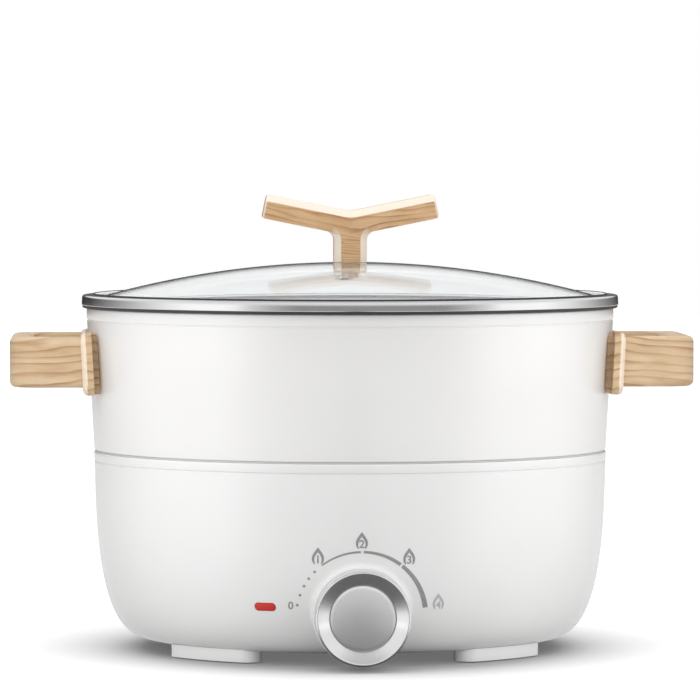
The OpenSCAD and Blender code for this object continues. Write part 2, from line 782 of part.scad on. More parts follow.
// Section of a handle's plate, its outer edges bevelled
module bevelled(w) {
    polygon([
        [-1, -w / 2], [flange_t - edge, -w / 2], [flange_t, -w / 2 + edge],
        [flange_t, w / 2 - edge], [flange_t - edge, w / 2], [-1, w / 2]
    ]);
}

// Loop handle on the +X side
module loop_handle() {
    difference() {
        union() {
            at_lug() intersection() {
                upright(flange_t) soft_rect(flange_w, flange_h, 6);
                rotate([90, 0, 0]) translate([0, 0, -flange_w]) linear_extrude(2 * flange_w)
                    bevelled(flange_h);
                translate([0, 0, -flange_h]) linear_extrude(2 * flange_h) bevelled(flange_w);
            }
            translate([0, 0, handle_z]) {
                for (y = [-1, 1]) {
                    translate([handle_reach - loop_corner, y * (handle_w - bar_t) / 2, 0])
                        mirror([1, 0, 0]) upright(handle_reach - loop_corner - lug_x - flange_t + 2.5)
                        soft_rect(bar_t, bar_h, bar_round);
                    translate([handle_reach - loop_corner, y * (handle_w / 2 - loop_corner), 0])
                        rotate_extrude(angle = 90, start = y > 0 ? 0 : -90, $fn = 96)
                        translate([loop_corner - bar_t / 2, 0]) soft_rect(bar_t, bar_h, bar_round);
                }
                translate([handle_reach - bar_t / 2, handle_w / 2 - loop_corner, 0]) rotate([90, 0, 0])
                    linear_extrude(handle_w - 2 * loop_corner) soft_rect(bar_t, bar_h, bar_round);
            }
        }
        translate([0, 0, shoulder_z])
            cylinder(h = line_z - shoulder_z, r1 = seam_r + 0.1, r2 = pot_r + 0.1, $fn = spin_fn);
        at_lug() for (y = [-1, 1]) translate([-4, y * stud_y, 0]) rotate([0, 90, 0])
            cylinder(h = flange_t + 8, r = stud_r + 0.25);
    }
}

module handle_right() {
    color(wood) loop_handle();
}

module handle_left() {
    color(wood) mirror([1, 0, 0]) loop_handle();
}

module handle_nuts() {
    color(steel) for (m = [0, 1]) mirror([m, 0, 0]) at_lug() for (y = [-1, 1])
        translate([flange_t, y * stud_y, 0]) rotate([0, 90, 0]) difference() {
            union() {
                cylinder(h = 4, r = 4.6, $fn = 6);
                translate([0, 0, 4]) sphere(3.7, $fn = 48);
            }
            translate([0, 0, -5]) cylinder(h = 11, r = stud_r + 0.05);
            translate([0, 0, -5]) cylinder(h = 5, r = 6);
        }
}

module lid_rim() {
    top = lid_z + lid_h;
    color(steel) spin([
        [lid_r - 2.6, lid_z], [lid_r - 1.5, lid_z + 0.5], [lid_r - 0.6, lid_z + 2],
        [lid_r - 0.1, lid_z + 3.8], [lid_r, lid_z + 5], [lid_r - 0.15, top - 0.7], [lid_r - 0.6, top - 0.2],
        [lid_r - 1.3, top], [dome_r + 3.2, top - 0.1], [dome_r + 2.8, top - 0.5],
        [dome_r + 3.2, glass_top + 0.2], [lid_r - 1.5, glass_top + 0.2], [lid_r - 1, lid_z + 4.6],
        [lid_r - 1.5, lid_z + 2.4], [lid_r - 2.2, lid_z + 1], [lid_r - 3, lid_z + rim_t],
        [skirt_r - rim_t, lid_z + rim_t], [skirt_r - rim_t, lid_z - skirt_h], [skirt_r, lid_z - skirt_h],
        [skirt_r, lid_z]
    ]);
}

module rim_seal() {
    color([0.85, 0.85, 0.84]) translate([0, 0, lid_z + rim_t]) rotate_extrude($fn = spin_fn)
        translate([skirt_r, 0]) square([glass_r - 0.4 - skirt_r, seal_t]);
}

// Places a drawing made along +Z on the outer face of the dome, behind the stem
module at_vent() {
    translate([0, 0, dome_mid]) rotate([-vent_at, 0, 0]) translate([0, 0, dome_c]) children();
}

module lid_glass() {
    color([0.85, 0.92, 0.94, 0.5]) difference() {
        rotate_extrude($fn = spin_fn) {
            difference() {
                intersection() {
                    translate([0, dome_mid]) circle(dome_c, $fn = 720);
                    translate([0, glass_z]) square([dome_r, dome_rise + glass_t + 1]);
                }
                translate([0, dome_mid]) circle(dome_c - glass_t, $fn = 720);
            }
            translate([dome_r - 0.2, glass_z]) square([glass_r - dome_r + 0.2, glass_t]);
        }
        cylinder(h = dome_z + 5, r = screw_r + 1);
        at_vent() translate([0, 0, -10]) cylinder(h = 20, r = vent_r + slack);
    }
}

module steam_vent() {
    color(steel) at_vent() difference() {
        union() {
            translate([0, 0, 0.05]) cylinder(h = 0.9, r = 6.5);
            translate([0, 0, -glass_t - 1]) cylinder(h = glass_t + 1.5, r = vent_r);
            translate([0, 0, -glass_t - 1]) cylinder(h = 0.8, r = 5.6);
        }
        translate([0, 0, -10]) cylinder(h = 20, r = 2.8);
    }
}

module lid_handle() {
    color(wood) difference() {
        intersection() {
            union() {
                for (m = [0, 1]) mirror([m, 0, 0]) translate([0, 0, fork_z]) rotate([0, -fork_tilt, 0])
                    translate([-3, 0, -fork_t / 2]) upright(fork_w / 2 + 12)
                    soft_rect(fork_d, fork_t, 3.5);
                translate([0, 0, stem_z]) linear_extrude(fork_low - stem_z + 5)
                    soft_rect(stem_w, fork_d, 3.5);
            }
            translate([0, 0, stem_z]) linear_extrude(fork_w) soft_rect(fork_w, fork_d, 4);
        }
        cylinder(h = stem_z + 14, r = screw_r + 0.1);
    }
}

module stem_seal() {
    color([0.85, 0.85, 0.84]) translate([0, 0, dome_z + 0.02]) difference() {
        cylinder(h = 0.56, r = stem_w / 2 - 1);
        translate([0, 0, -1]) cylinder(h = 5, r = screw_r + 1);
    }
}

module lid_seal() {
    color([0.85, 0.85, 0.84]) translate([0, 0, under_z - 1.3]) difference() {
        cylinder(h = 1.1, r = 10);
        translate([0, 0, -1]) cylinder(h = 5, r = screw_r + 1);
    }
}

module lid_washer() {
    color(steel) translate([0, 0, under_z - 2.5]) difference() {
        cylinder(h = 1.2, r = 9);
        translate([0, 0, -1]) cylinder(h = 5, r = screw_r + 0.2);
    }
}

module lid_screw() {
    color(steel) translate([0, 0, under_z - 2.5]) difference() {
        union() {
            translate([0, 0, -3]) cylinder(h = 3, r = 4.6);
            cylinder(h = stem_z + 13 - under_z + 2.5, r = screw_r);
        }
        for (b = [0, 90]) rotate([0, 0, b]) translate([-2.8, -0.5, -4]) cube([5.6, 1, 2.4]);
    }
}

base_shell();
bottom_cover();
bottom_screws();
foot_front_right();
foot_front_left();
foot_rear_right();
foot_rear_left();
foot_pads();
foot_screws();
inner_liner();
liner_pillars();
liner_screws();
heat_pan();
pan_rivets();
heating_plate();
heating_element();
element_pins();
plate_posts();
plate_screws();
limit_thermostat();
thermostat_screws();
rotary_switch();
switch_nut();
switch_shaft();
knob_core();
knob_ring();
knob_cap();
lamp_lens();
lamp_holder();
pilot_lamp();
power_inlet();
inlet_pins();
inlet_screws();
lead_live();
lead_switched();
lead_neutral();
lead_return();
lead_earth();
pot_body();
handle_right();
handle_left();
handle_nuts();
lid_rim();
rim_seal();
lid_glass();
steam_vent();
lid_handle();
stem_seal();
lid_seal();
lid_washer();
lid_screw();
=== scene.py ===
from math import atan2, cos, pi, radians, sin, sqrt, tan

import bpy
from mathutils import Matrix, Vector


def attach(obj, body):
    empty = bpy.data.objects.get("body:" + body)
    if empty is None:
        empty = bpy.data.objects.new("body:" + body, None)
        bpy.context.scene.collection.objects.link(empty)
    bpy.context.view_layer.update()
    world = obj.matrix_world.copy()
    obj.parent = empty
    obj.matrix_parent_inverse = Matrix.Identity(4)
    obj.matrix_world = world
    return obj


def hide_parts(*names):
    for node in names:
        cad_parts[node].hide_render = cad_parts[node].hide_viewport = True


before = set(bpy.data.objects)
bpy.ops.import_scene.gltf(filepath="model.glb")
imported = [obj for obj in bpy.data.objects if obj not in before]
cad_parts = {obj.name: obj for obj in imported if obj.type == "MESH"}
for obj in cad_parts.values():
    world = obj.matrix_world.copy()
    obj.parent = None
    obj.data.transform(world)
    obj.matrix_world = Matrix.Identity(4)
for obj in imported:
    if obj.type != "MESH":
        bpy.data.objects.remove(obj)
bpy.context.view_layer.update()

# Base shell
# The base is one polished white moulding, open at the top, with a fine groove under its top band.
# A round seat for the knob stands out of its front, and a flat seat for the inlet out of its back.
MM = 0.001
SEAM_R = 143.2
SEAM_TOP = 110.3
BAND_Z = 104.3
BASE_Z = 6.5
WALL_T = 2.8
COVER_R = 101.0
LEDGE_R = 140.4
LINER_R = 134.9
KNOB_Z = 28.8
SEAT_Y = 142.5
SEAT_R = 26.3
SEAT_DEPTH = 32.0
SEAT_FILLET = 3.4
SEAT_SLOPE = (0, -136.5, 55), (0, 0.0525, 0.0225)
INLET_Z = 36.0
INLET_Y = 141.5
INLET_SEAT = (54, 30, 34)
INLET_HOLE = (28.3, 40, 20.3)
INLET_SLOPE = (0, 136.5, 53), (0, -0.034, 0.0235)


def side(u, inset=0.0):
    """A point (radius, height) on the wall's curve from the flat underside up to the band."""
    v = 1 - u
    reach = (113, 135 - inset, 142.5 - inset, 142.9 - inset)
    rise = (BASE_Z + inset, BASE_Z + inset, 41, BAND_Z)
    share = (v * v * v, 3 * v * v * u, 3 * v * u * u, u * u * u)
    return sum(s * p for s, p in zip(share, reach)), sum(s * p for s, p in zip(share, rise))


def wall_r(z):
    """Radius of the base's wall at a height."""
    low, high = 0.0, 1.0
    for _ in range(40):
        mid = (low + high) / 2
        low, high = (mid, high) if side(mid)[1] < z else (low, mid)
    return side(low)[0]


def arc(r, z, size, start, end, steps):
    """Points of an arc round (r, z), angles in degrees."""
    turn = [radians(start + (end - start) * i / steps) for i in range(steps + 1)]
    return [(r + size * cos(a), z + size * sin(a)) for a in turn]


def raised(points, z):
    """A profile's points moved up by a height."""
    return [(r, z + h) for r, h in points]


def only(*pieces):
    """Leaves edit mode and selects these pieces alone, the first of them active."""
    if bpy.context.mode != "OBJECT":
        bpy.ops.object.mode_set(mode="OBJECT")
    bpy.ops.object.select_all(action="DESELECT")
    for p in pieces:
        p.select_set(True)
    bpy.context.view_layer.objects.active = pieces[0]


def edit_all():
    """Selects the whole of the active piece in edit mode."""
    if bpy.context.mode == "OBJECT":
        bpy.ops.object.mode_set(mode="EDIT")
    bpy.ops.mesh.select_all(action="SELECT")


def shift(x, y, z):
    """Moves what is selected by a step in mm."""
    bpy.ops.transform.translate(value=(x * MM, y * MM, z * MM))


def pull(x, y, z):
    """Extrudes what is selected by a step in mm."""
    bpy.ops.mesh.extrude_region_move(TRANSFORM_OT_translate={"value": (x * MM, y * MM, z * MM)})


def outline(name, points, plane="XZ"):
    """Draws a chain of points in mm, one vertex pulled out of the last, and leaves it in edit mode."""
    bpy.ops.object.select_all(action="DESELECT")
    bpy.ops.mesh.primitive_plane_add(size=0.002)
    piece = bpy.context.object
    piece.name = piece.data.name = name
    bpy.ops.object.mode_set(mode="EDIT")
    bpy.ops.mesh.select_mode(type="VERT")
    edit_all()
    bpy.ops.mesh.merge(type="CENTER")
    last, move = (0.0, 0.0), shift
    for a, b in points:
        across, on = a - last[0], b - last[1]
        move(*((across, 0, on) if plane == "XZ" else (across, on, 0)))
        last, move = (a, b), pull
    edit_all()
    return piece


def smooth(piece, angle=32):
    """Leaves edit mode with the piece shaded smooth up to an angle."""
    only(piece)
    bpy.ops.object.shade_smooth_by_angle(angle=radians(angle))
    return piece


def turned(name, points, steps=240, closed=True):
    """Spins an outline of (radius, height) points round the pot's axis."""
    piece = outline(name, points + points[:1] if closed else points)
    bpy.ops.mesh.remove_doubles(threshold=1e-6)
    edit_all()
    bpy.ops.mesh.spin(steps=steps, angle=2 * pi, center=(0, 0, 0), axis=(0, 0, 1))
    edit_all()
    bpy.ops.mesh.remove_doubles(threshold=2e-6)
    bpy.ops.mesh.normals_make_consistent(inside=False)
    return smooth(piece)


def pick(piece, test, kind="FACE"):
    """Selects in edit mode what passes a test on its middle, in mm, and its normal."""
    bpy.ops.mesh.select_mode(type=kind)
    bpy.ops.mesh.select_all(action="DESELECT")
    bpy.ops.object.mode_set(mode="OBJECT")
    data = piece.data
    if kind == "FACE":
        for f in data.polygons:
            f.select = test(f.center / MM, f.normal)
    elif kind == "EDGE":
        for e in data.edges:
            a, b = (data.vertices[i].co / MM for i in e.vertices)
            e.select = test((a + b) / 2, (b - a).normalized())
    else:
        for v in data.vertices:
            v.select = test(v.co / MM, v.normal)
    bpy.ops.object.mode_set(mode="EDIT")


def rounded(piece, size, segments, test):
    """Rounds the edges that pass a test, to a size in mm."""
    pick(piece, test, "EDGE")
    bpy.ops.mesh.bevel(offset=size * MM, segments=segments, affect="EDGES")


def trim(point, normal):
    """Cuts away what lies past a plane through a point in mm, and closes the cut."""
    edit_all()
    place = [p * MM for p in point]
    bpy.ops.mesh.bisect(plane_co=place, plane_no=normal, clear_outer=True, use_fill=True)


def block(name, size, place):
    """A box of a size in mm at a place in mm, in edit mode, all selected."""
    bpy.ops.object.select_all(action="DESELECT")
    bpy.ops.mesh.primitive_cube_add(size=1, location=[p * MM for p in place])
    piece = bpy.context.object
    piece.name = piece.data.name = name
    piece.scale = [s * MM for s in size]
    bpy.ops.object.transform_apply()
    edit_all()
    return piece


def cut(piece, tool):
    """Takes the tool's solid out of the piece."""
    only(piece)
    mod = piece.modifiers.new("cut", "BOOLEAN")
    mod.operation, mod.solver, mod.object = "DIFFERENCE", "EXACT", tool
    bpy.ops.object.modifier_apply(modifier=mod.name)
    bpy.data.objects.remove(tool)
    return piece


def united(*pieces):
    """Joins pieces into the first one's mesh."""
    only(*pieces)
    bpy.ops.object.join()
    return pieces[0]


def face_front(piece):
    """Turns the faces of an open sheet to the front."""
    if sum(f.normal.y for f in piece.data.polygons) > 0:
        piece.data.flip_normals()
    return piece


def sheet(name, rows):
    """An open sheet through rows of points in metres."""
    wide = len(rows[0])
    faces = [
        (i * wide + k, i * wide + k + 1, (i + 1) * wide + k + 1, (i + 1) * wide + k)
        for i in range(len(rows) - 1) for k in range(wide - 1)
    ]
    data = bpy.data.meshes.new(name)
    data.from_pydata([p for row in rows for p in row], [], faces)
    piece = bpy.data.objects.new(name, data)
    bpy.context.collection.objects.link(piece)
    return face_front(piece)


wall = [side(i / 56) for i in range(57)]
groove = [(142.62, 0.22), (142.55, 0.5), (142.62, 0.78), (142.95, 1.0), (143.12, 1.2), (143.2, 1.5)]
lip = arc(SEAM_R - 0.8, SEAM_TOP - 0.8, 0.8, 0, 90, 6)
ledge = [(LEDGE_R, 0), (LEDGE_R, -2), (LINER_R, -2), (LINER_R, -4), (140.1, -9.5)]
inside = [side(i / 28, WALL_T) for i in range(26, -1, -1)] + [(COVER_R, BASE_Z + WALL_T), (COVER_R, BASE_Z)]
base_skin = turned("base_skin", wall + raised(groove, BAND_Z) + lip + raised(ledge, SEAM_TOP) + inside)

bpy.ops.object.select_all(action="DESELECT")
bpy.ops.mesh.primitive_cylinder_add(
    vertices=160, radius=SEAT_R * MM, depth=SEAT_DEPTH * MM, rotation=(pi / 2, 0, 0),
    location=(0, (SEAT_DEPTH / 2 - SEAT_Y) * MM, KNOB_Z * MM),
)
knob_seat = bpy.context.object
bpy.ops.object.transform_apply()
trim(*SEAT_SLOPE)
rounded(knob_seat, 0.7, 4, lambda p, d: p.y < 0.01 - SEAT_Y)
smooth(knob_seat)

inlet_seat = block("inlet_seat", INLET_SEAT, (0, INLET_Y - INLET_SEAT[1] / 2, INLET_Z))
rounded(inlet_seat, 6, 6, lambda p, d: abs(d.y) > 0.9)
rounded(inlet_seat, 1, 3, lambda p, d: p.y > INLET_Y - 0.01)
trim(*INLET_SLOPE)
smooth(inlet_seat)
for piece in (inlet_seat, base_skin):
    cut(piece, block("inlet_hole", INLET_HOLE, (0, 130, INLET_Z)))


def corner_row(turn, soft):
    """Points of the moulded corner from the knob's seat out to the wall, at one angle round the knob."""
    ends = [(d * cos(turn), KNOB_Z + d * sin(turn)) for d in (SEAT_R, SEAT_R + soft)]
    near, far = (-sqrt(wall_r(z) ** 2 - x * x) for x, z in ends)
    row = []
    for k in range(8):
        t = k / 7
        d = SEAT_R - 0.05 + (soft + 0.05) * t * t
        y = (1 - t) ** 2 * max(near - soft, 0.4 - SEAT_Y) + 2 * t * (1 - t) * near + t * t * (far + 0.03)
        row.append((d * cos(turn) * MM, y * MM, (KNOB_Z + d * sin(turn)) * MM))
    return row


shares = [i / 132 for i in range(133)]
seat_corner = sheet("seat_corner", [
    corner_row(radians(-18 + 216 * t), SEAT_FILLET * min(1, 0.25 + 1.5 * sin(pi * t))) for t in shares
])
smooth(seat_corner, 60)
base_skin = united(base_skin, knob_seat, inlet_seat, seat_corner)


def fill(mat, made, values):
    """Fills a node's sockets, each with a number or colour, or with another socket to join."""
    for k, v in values.items():
        if isinstance(v, bpy.types.NodeSocket):
            mat.node_tree.links.new(v, made.inputs[k])
        else:
            made.inputs[k].default_value = v


def finish(name, colour, rough, metal=0.0):
    """A new material and its shader, at one colour and roughness to start from."""
    mat = bpy.data.materials.new(name)
    mat.use_nodes = True
    shader = mat.node_tree.nodes["Principled BSDF"]
    fill(mat, shader, {"Base Color": (*colour, 1), "Roughness": rough, "Metallic": metal})
    return mat, shader


def node(mat, kind, values=None, **settings):
    """A node of a material or of the world, with its settings made and its sockets filled."""
    made = mat.node_tree.nodes.new("ShaderNode" + kind)
    for k, v in settings.items():
        setattr(made, k, v)
    fill(mat, made, values or {})
    return made


def spot_of(mat):
    """The place on the object, in metres."""
    return node(mat, "TexCoord").outputs["Object"]


def noise(mat, where, scale, detail=2.0, rough=0.5):
    """A soft random pattern."""
    values = {"Vector": where, "Scale": scale, "Detail": detail, "Roughness": rough}
    return node(mat, "TexNoise", values).outputs["Fac"]


def ramp(mat, fac, *stops):
    """A colour ramp of stops, each a place with a colour or a grey."""
    made = node(mat, "ValToRGB", {"Fac": fac})
    band = made.color_ramp
    while len(band.elements) < len(stops):
        band.elements.new(0.5)
    for e, (place, colour) in zip(band.elements, stops):
        e.position = place
        e.color = (*colour, 1) if isinstance(colour, tuple) else (colour, colour, colour, 1)
    return made.outputs["Color"]


def tone(colour, k):
    """A colour made lighter or darker."""
    return tuple(min(1, c * k) for c in colour)


def surface(mat, shader, colour, fine, low, high, depth, step=0.0001):
    """Joins a colour to the shader, and a fine pattern to its roughness, from low to high, and its bump."""
    gloss = node(mat, "MapRange", {"Value": fine, "To Min": low, "To Max": high}).outputs["Result"]
    bump = node(mat, "Bump", {"Height": fine, "Strength": depth, "Distance": step}).outputs["Normal"]
    fill(mat, shader, {"Base Color": colour, "Roughness": gloss, "Normal": bump})


def moulded(name, colour, rough, cloud=0.012, grain=0.03):
    """Moulded surface: faint clouds in its colour, fine grain in its gloss."""
    mat, shader = finish(name, colour, rough)
    spot = spot_of(mat)
    clouds = noise(mat, spot, 14.0)
    shade = ramp(mat, clouds, (0.3, tone(colour, 1 - cloud)), (0.7, tone(colour, 1 + cloud)))
    surface(mat, shader, shade, noise(mat, spot, 900.0), rough * 0.85, rough * 1.15, grain)
    return mat


def dress(piece, mat):
    """Gives a piece, or a node of the frame, one material."""
    piece.data.materials.clear()
    piece.data.materials.append(mat)


white = moulded("shell_white", (0.84, 0.84, 0.835), 0.24)
dress(base_skin, white)
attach(base_skin, "base")
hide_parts("base_shell")

# Feet
# Four arc-shaped feet of the same white plastic, screwed up into the shell from below.
# Each holds a dark rubber pad let into its underside.
FOOT_IN = 103.5
FOOT_OUT = 119.5
FOOT_Z = 0.5
FOOT_H = 12.0
FOOT_AT = 44.5
FOOT_FIT = 0.15
half_span = radians(23.5 / 2)
end_r, mid_r = (FOOT_OUT - FOOT_IN) / 2, (FOOT_OUT + FOOT_IN) / 2


def round_end(turn, way):
    """Half a circle round the end of a foot, from its outer side to its inner side or back."""
    points = []
    for k in range(1, 16):
        a = pi * k / 16 + (0 if way > 0 else pi)
        out, on = mid_r + end_r * cos(a), end_r * sin(a)
        points.append((out * sin(turn) + on * cos(turn), on * sin(turn) - out * cos(turn)))
    return points


sweep_of = [half_span * (i / 14 - 1) for i in range(29)]
plan = [(FOOT_OUT * sin(t), -FOOT_OUT * cos(t)) for t in sweep_of] + round_end(half_span, 1)
plan += [(FOOT_IN * sin(t), -FOOT_IN * cos(t)) for t in sweep_of[::-1]] + round_end(-half_span, -1)
foot = outline("foot_skin", plan + plan[:1], plane="XY")
bpy.ops.mesh.remove_doubles(threshold=1e-6)
edit_all()
shift(0, 0, FOOT_Z)
bpy.ops.mesh.edge_face_add()
pull(0, 0, FOOT_H)
edit_all()
bpy.ops.mesh.normals_make_consistent(inside=False)
bpy.ops.object.mode_set(mode="OBJECT")
belly = [(0, BASE_Z - FOOT_FIT)] + [side(i / 40, -FOOT_FIT) for i in range(16)] + [(0, 30)]
cut(foot, turned("belly", belly))


def softened(piece, size, angle):
    """Rounds every edge that is sharper than an angle, to a size in mm."""
    only(piece)
    soft = piece.modifiers.new("soft", "BEVEL")
    soft.width, soft.segments, soft.limit_method, soft.angle_limit = size * MM, 3, "ANGLE", radians(angle)
    bpy.ops.object.modifier_apply(modifier=soft.name)


softened(foot, 0.9, 40)
smooth(foot)
dress(foot, white)
for name, at in (
    ("foot_front_right", FOOT_AT), ("foot_front_left", -FOOT_AT),
    ("foot_rear_right", 180 - FOOT_AT), ("foot_rear_left", 180 + FOOT_AT),
):
    copy = foot.copy()
    copy.data = foot.data.copy()
    copy.name = copy.data.name = name + "_skin"
    bpy.context.collection.objects.link(copy)
    only(copy)
    copy.rotation_euler = (0, 0, radians(at))
    bpy.ops.object.transform_apply()
    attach(copy, "base")
    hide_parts(name)
bpy.data.objects.remove(foot)


def dress_nodes(mat, *names):
    """Gives nodes of the frame one material."""
    for name in names:
        dress(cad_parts[name], mat)


rubber = moulded("pad_rubber", (0.045, 0.045, 0.048), 0.75, cloud=0.1, grain=0.3)
dress_nodes(rubber, "foot_pads")

# Bottom cover, screws and rivets
# The cover is a white plastic disc with rings of vent slots, held by six screws from below.
# Screws, rivets, posts and nuts are plain turned steel.
dress_nodes(moulded("cover_white", (0.78, 0.78, 0.775), 0.5, grain=0.15), "bottom_cover")


def lathe_lines(mat, a, b, along):
    """The distance from an axis, and the point that the fine lines of turning follow."""
    flat = node(mat, "CombineXYZ", {"X": a, "Y": b}).outputs[0]
    radius = node(mat, "VectorMath", {0: flat}, operation="LENGTH").outputs["Value"]
    return radius, node(mat, "CombineXYZ", {"X": radius, "Y": along}).outputs[0]


def metal(name, colour, rough, lines=700.0, depth=0.05, shade=0.08):
    """Bare metal with fine lines from its drawing or turning, and a little unevenness in its gloss."""
    mat, shader = finish(name, colour, rough, 1.0)
    spot = spot_of(mat)
    part = node(mat, "SeparateXYZ", {"Vector": spot}).outputs
    fine = noise(mat, lathe_lines(mat, part["X"], part["Y"], part["Z"])[1], lines, 3.0)
    broad = noise(mat, spot, 30.0)
    tint = ramp(mat, broad, (0.3, tone(colour, 1 - shade)), (0.7, tone(colour, 1 + shade / 2)))
    surface(mat, shader, tint, fine, rough * 0.75, rough * 1.25, depth)
    return mat


dress_nodes(
    metal("fixing_steel", (0.6, 0.6, 0.61), 0.35),
    "bottom_screws", "foot_screws", "liner_screws", "pan_rivets", "element_pins", "plate_posts",
    "plate_screws", "thermostat_screws", "switch_nut", "switch_shaft", "inlet_pins", "inlet_screws",
    "handle_nuts", "lid_washer", "lid_screw",
)

# Liner, heating plate and what hangs under it
# The liner is a drawn steel tub that the pot sinks into. Through its floor stands a cast alloy plate
# with a sheathed element in its underside, and a pressed pan below catches the heat.
dress_nodes(metal("liner_steel", (0.66, 0.66, 0.67), 0.3, lines=500.0, depth=0.08), "inner_liner", "heat_pan")
dress_nodes(metal("plate_alloy", (0.62, 0.62, 0.63), 0.42, lines=1200.0, depth=0.25), "heating_plate")
dress_nodes(metal("element_sheath", (0.2, 0.19, 0.18), 0.6, depth=0.15, shade=0.2), "heating_element")

# Switch, thermostat, inlet and leads
# Black moulded resin bodies; the leads run in silicone sleeves, each in its own colour.
# The inlet at the back takes a separate cord with an appliance connector.
resin = moulded("black_resin", (0.03, 0.03, 0.033), 0.5, cloud=0.1, grain=0.2)
dress_nodes(resin, "liner_pillars", "limit_thermostat", "rotary_switch", "knob_core", "power_inlet")
for slot, colour, leads in (
    ("lead_brown", (0.22, 0.09, 0.03), ("lead_live",)),
    ("lead_black", (0.03, 0.03, 0.03), ("lead_switched",)),
    ("lead_blue", (0.05, 0.12, 0.42), ("lead_neutral", "lead_return")),
    ("lead_green", (0.16, 0.36, 0.06), ("lead_earth",)),
):
    dress_nodes(moulded(slot, colour, 0.55, cloud=0.12, grain=0.12), *leads)

# Pot
# A cast pot with a white gloss coating outside and a pale non-stick coating inside.
# Its lower part steps in and sinks into the base; a fine groove marks the collar.
POT_R = 147.2
SHOULDER_Z = 111.3
RIM_Z = 190.8
NEST_R = 130.5
NEST_CORNER = 8.0
NEST_FILLET = 4.5
POT_FOOT = 58.1
POT_FLOOR = 62.1
nest_mid = NEST_R - NEST_CORNER
outside = [(0, POT_FOOT)] + arc(nest_mid, POT_FOOT + NEST_CORNER, NEST_CORNER, -90, 0, 12)
outside += [(NEST_R, SHOULDER_Z)] + arc(SEAM_R - 0.8, SHOULDER_Z + 0.8, 0.8, -90, 0, 6)
outside += [(143.6, 120), (145.1, 147)]
collar = [(147.1, -8), (147.05, -7.75), (146.75, -7.5), (146.7, -7.25), (146.8, -7), (147.15, -6.75)]
collar += [(POT_R, -6.4)] + arc(POT_R - 0.7, -1.3, 0.7, 0, 90, 5) + [(146.1, -0.55), (146, -0.1)]
collar += [(145.9, 0), (144.4, 0), (143.9, -0.2), (143.7, -0.7), (143.7, -7.4)]
cavity = [(141.0, 136)] + arc(133.7, SHOULDER_Z + 9.5, 6, 0, -90, 8)
cavity += arc(133, SHOULDER_Z - 2.5, 6, 90, 180, 8)
cavity += arc(nest_mid, POT_FLOOR + NEST_FILLET, NEST_FILLET, 0, -90, 10) + [(0, POT_FLOOR)]
pot_skin = turned("pot_skin", outside + raised(collar, RIM_Z) + cavity, closed=False)


def face_mark(piece, name, rule):
    """Stores on each face a number worked out from its middle, in mm, and its normal."""
    layer = piece.data.attributes.new(name, "FLOAT", "FACE")
    for f in piece.data.polygons:
        layer.data[f.index].value = rule(f.center / MM, f.normal)


def is_inside(p, n):
    """1 on the faces of the cavity, 0 on the rest."""
    return float((n.x * p.x + n.y * p.y < -1 or n.z > 0.3) and p.z < RIM_Z - 1.5)


def blend(mat, share, first, second, kind="RGBA", **settings):
    """A mix of two colours, or of two numbers."""
    values = {"Factor": share, "A": first, "B": second}
    return node(mat, "Mix", values, data_type=kind, **settings).outputs["Result"]


face_mark(pot_skin, "inside", is_inside)
coating, shader = finish("pot_coating", (0.84, 0.835, 0.825), 0.22)
spot = spot_of(coating)
within = node(coating, "Attribute", attribute_name="inside").outputs["Fac"]
clouds = noise(coating, spot, 12.0)
outer = ramp(coating, clouds, (0.3, (0.835, 0.828, 0.817)), (0.7, (0.855, 0.85, 0.842)))
specks = noise(coating, spot, 1400.0, 1.0)
inner = ramp(coating, specks, (0.35, (0.7, 0.7, 0.695)), (0.68, (0.8, 0.8, 0.795)))
bump = node(coating, "Bump", {"Height": specks, "Strength": 0.03, "Distance": 0.0001})
fill(coating, shader, {
    "Base Color": blend(coating, within, outer, inner),
    "Roughness": blend(coating, within, 0.22, 0.38, "FLOAT"),
    "Normal": bump.outputs["Normal"],
})
dress(pot_skin, coating)
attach(pot_skin, "pot")
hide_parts("pot_body")

# Seat ring
# A pale silicone ring, moulded in one piece, that cushions the pot where it meets the base.
# It lies loose on the shell's lip, in the gap under the pot's shoulder.
seat = [(140.5, 0.04), (142.2, 0.04), (142.4, 0.3), (142.4, 0.7), (142.2, 0.92), (140.5, 0.92)]
seat_ring = turned("seat_ring", raised(seat, SEAM_TOP), steps=256)
dress(seat_ring, moulded("seat_silicone", (0.6, 0.6, 0.595), 0.5, cloud=0.03, grain=0.1))
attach(seat_ring, "base")

# Loop handles
# Each is moulded in one piece: a bevelled plate, a saddle that fits the pot's wall, and a loop of bar.
# The resin has a wood-grain finish whose lines run along the bars; studs and cap nuts hold the plate.
HANDLE_Z = 161.2
LUG_X = 143.66
LEAN = radians(3.2)
REACH = 189.6
HANDLE_W = 94.0
BAR_H = 28.0
BAR_T = 13.0
CORNER = 15.0
FLANGE_T = 6.4
PLATE_W = HANDLE_W + 6
PLATE_H = BAR_H + 6.4
PLATE_MID = -1.1
SADDLE_T = 9.0
SADDLE_W = 80.0
SADDLE_H = BAR_H + 5.8
WALL_FOOT_R = 143.3
WALL_TOP_R = 147.3
WALL_H = 72.1
WALL_MID_Z = 147.35
BAR_ROUND = 3.4
BAR_SINK = 2.5
BEND_R = 8.5
# Share of the painted cream highlight that the plates' bevels take
PAINTED_HIGHLIGHT_SHARE = 0.7
LOOP_TAN = (0.56, 0.4, 0.235), (0.7, 0.54, 0.35)
YEAR_LINE = (0.36, 0.165, 0.07, 1)
PORE = (0.45, 0.25, 0.12, 1)
# Pale cream of the painted highlight on the wood's bevels
PAINTED_HIGHLIGHT = (0.94, 0.82, 0.69, 1)


def grained(piece, run):
    """Stores on each corner of a face where it lies in the wood: along the grain, across it, and in depth."""
    layer = piece.data.attributes.new("grain", "FLOAT_VECTOR", "CORNER")
    values = []
    for f in piece.data.polygons:
        for i in f.vertices:
            values += run(piece.data.vertices[i].co / MM, f.center / MM)
    layer.data.foreach_set("vector", values)


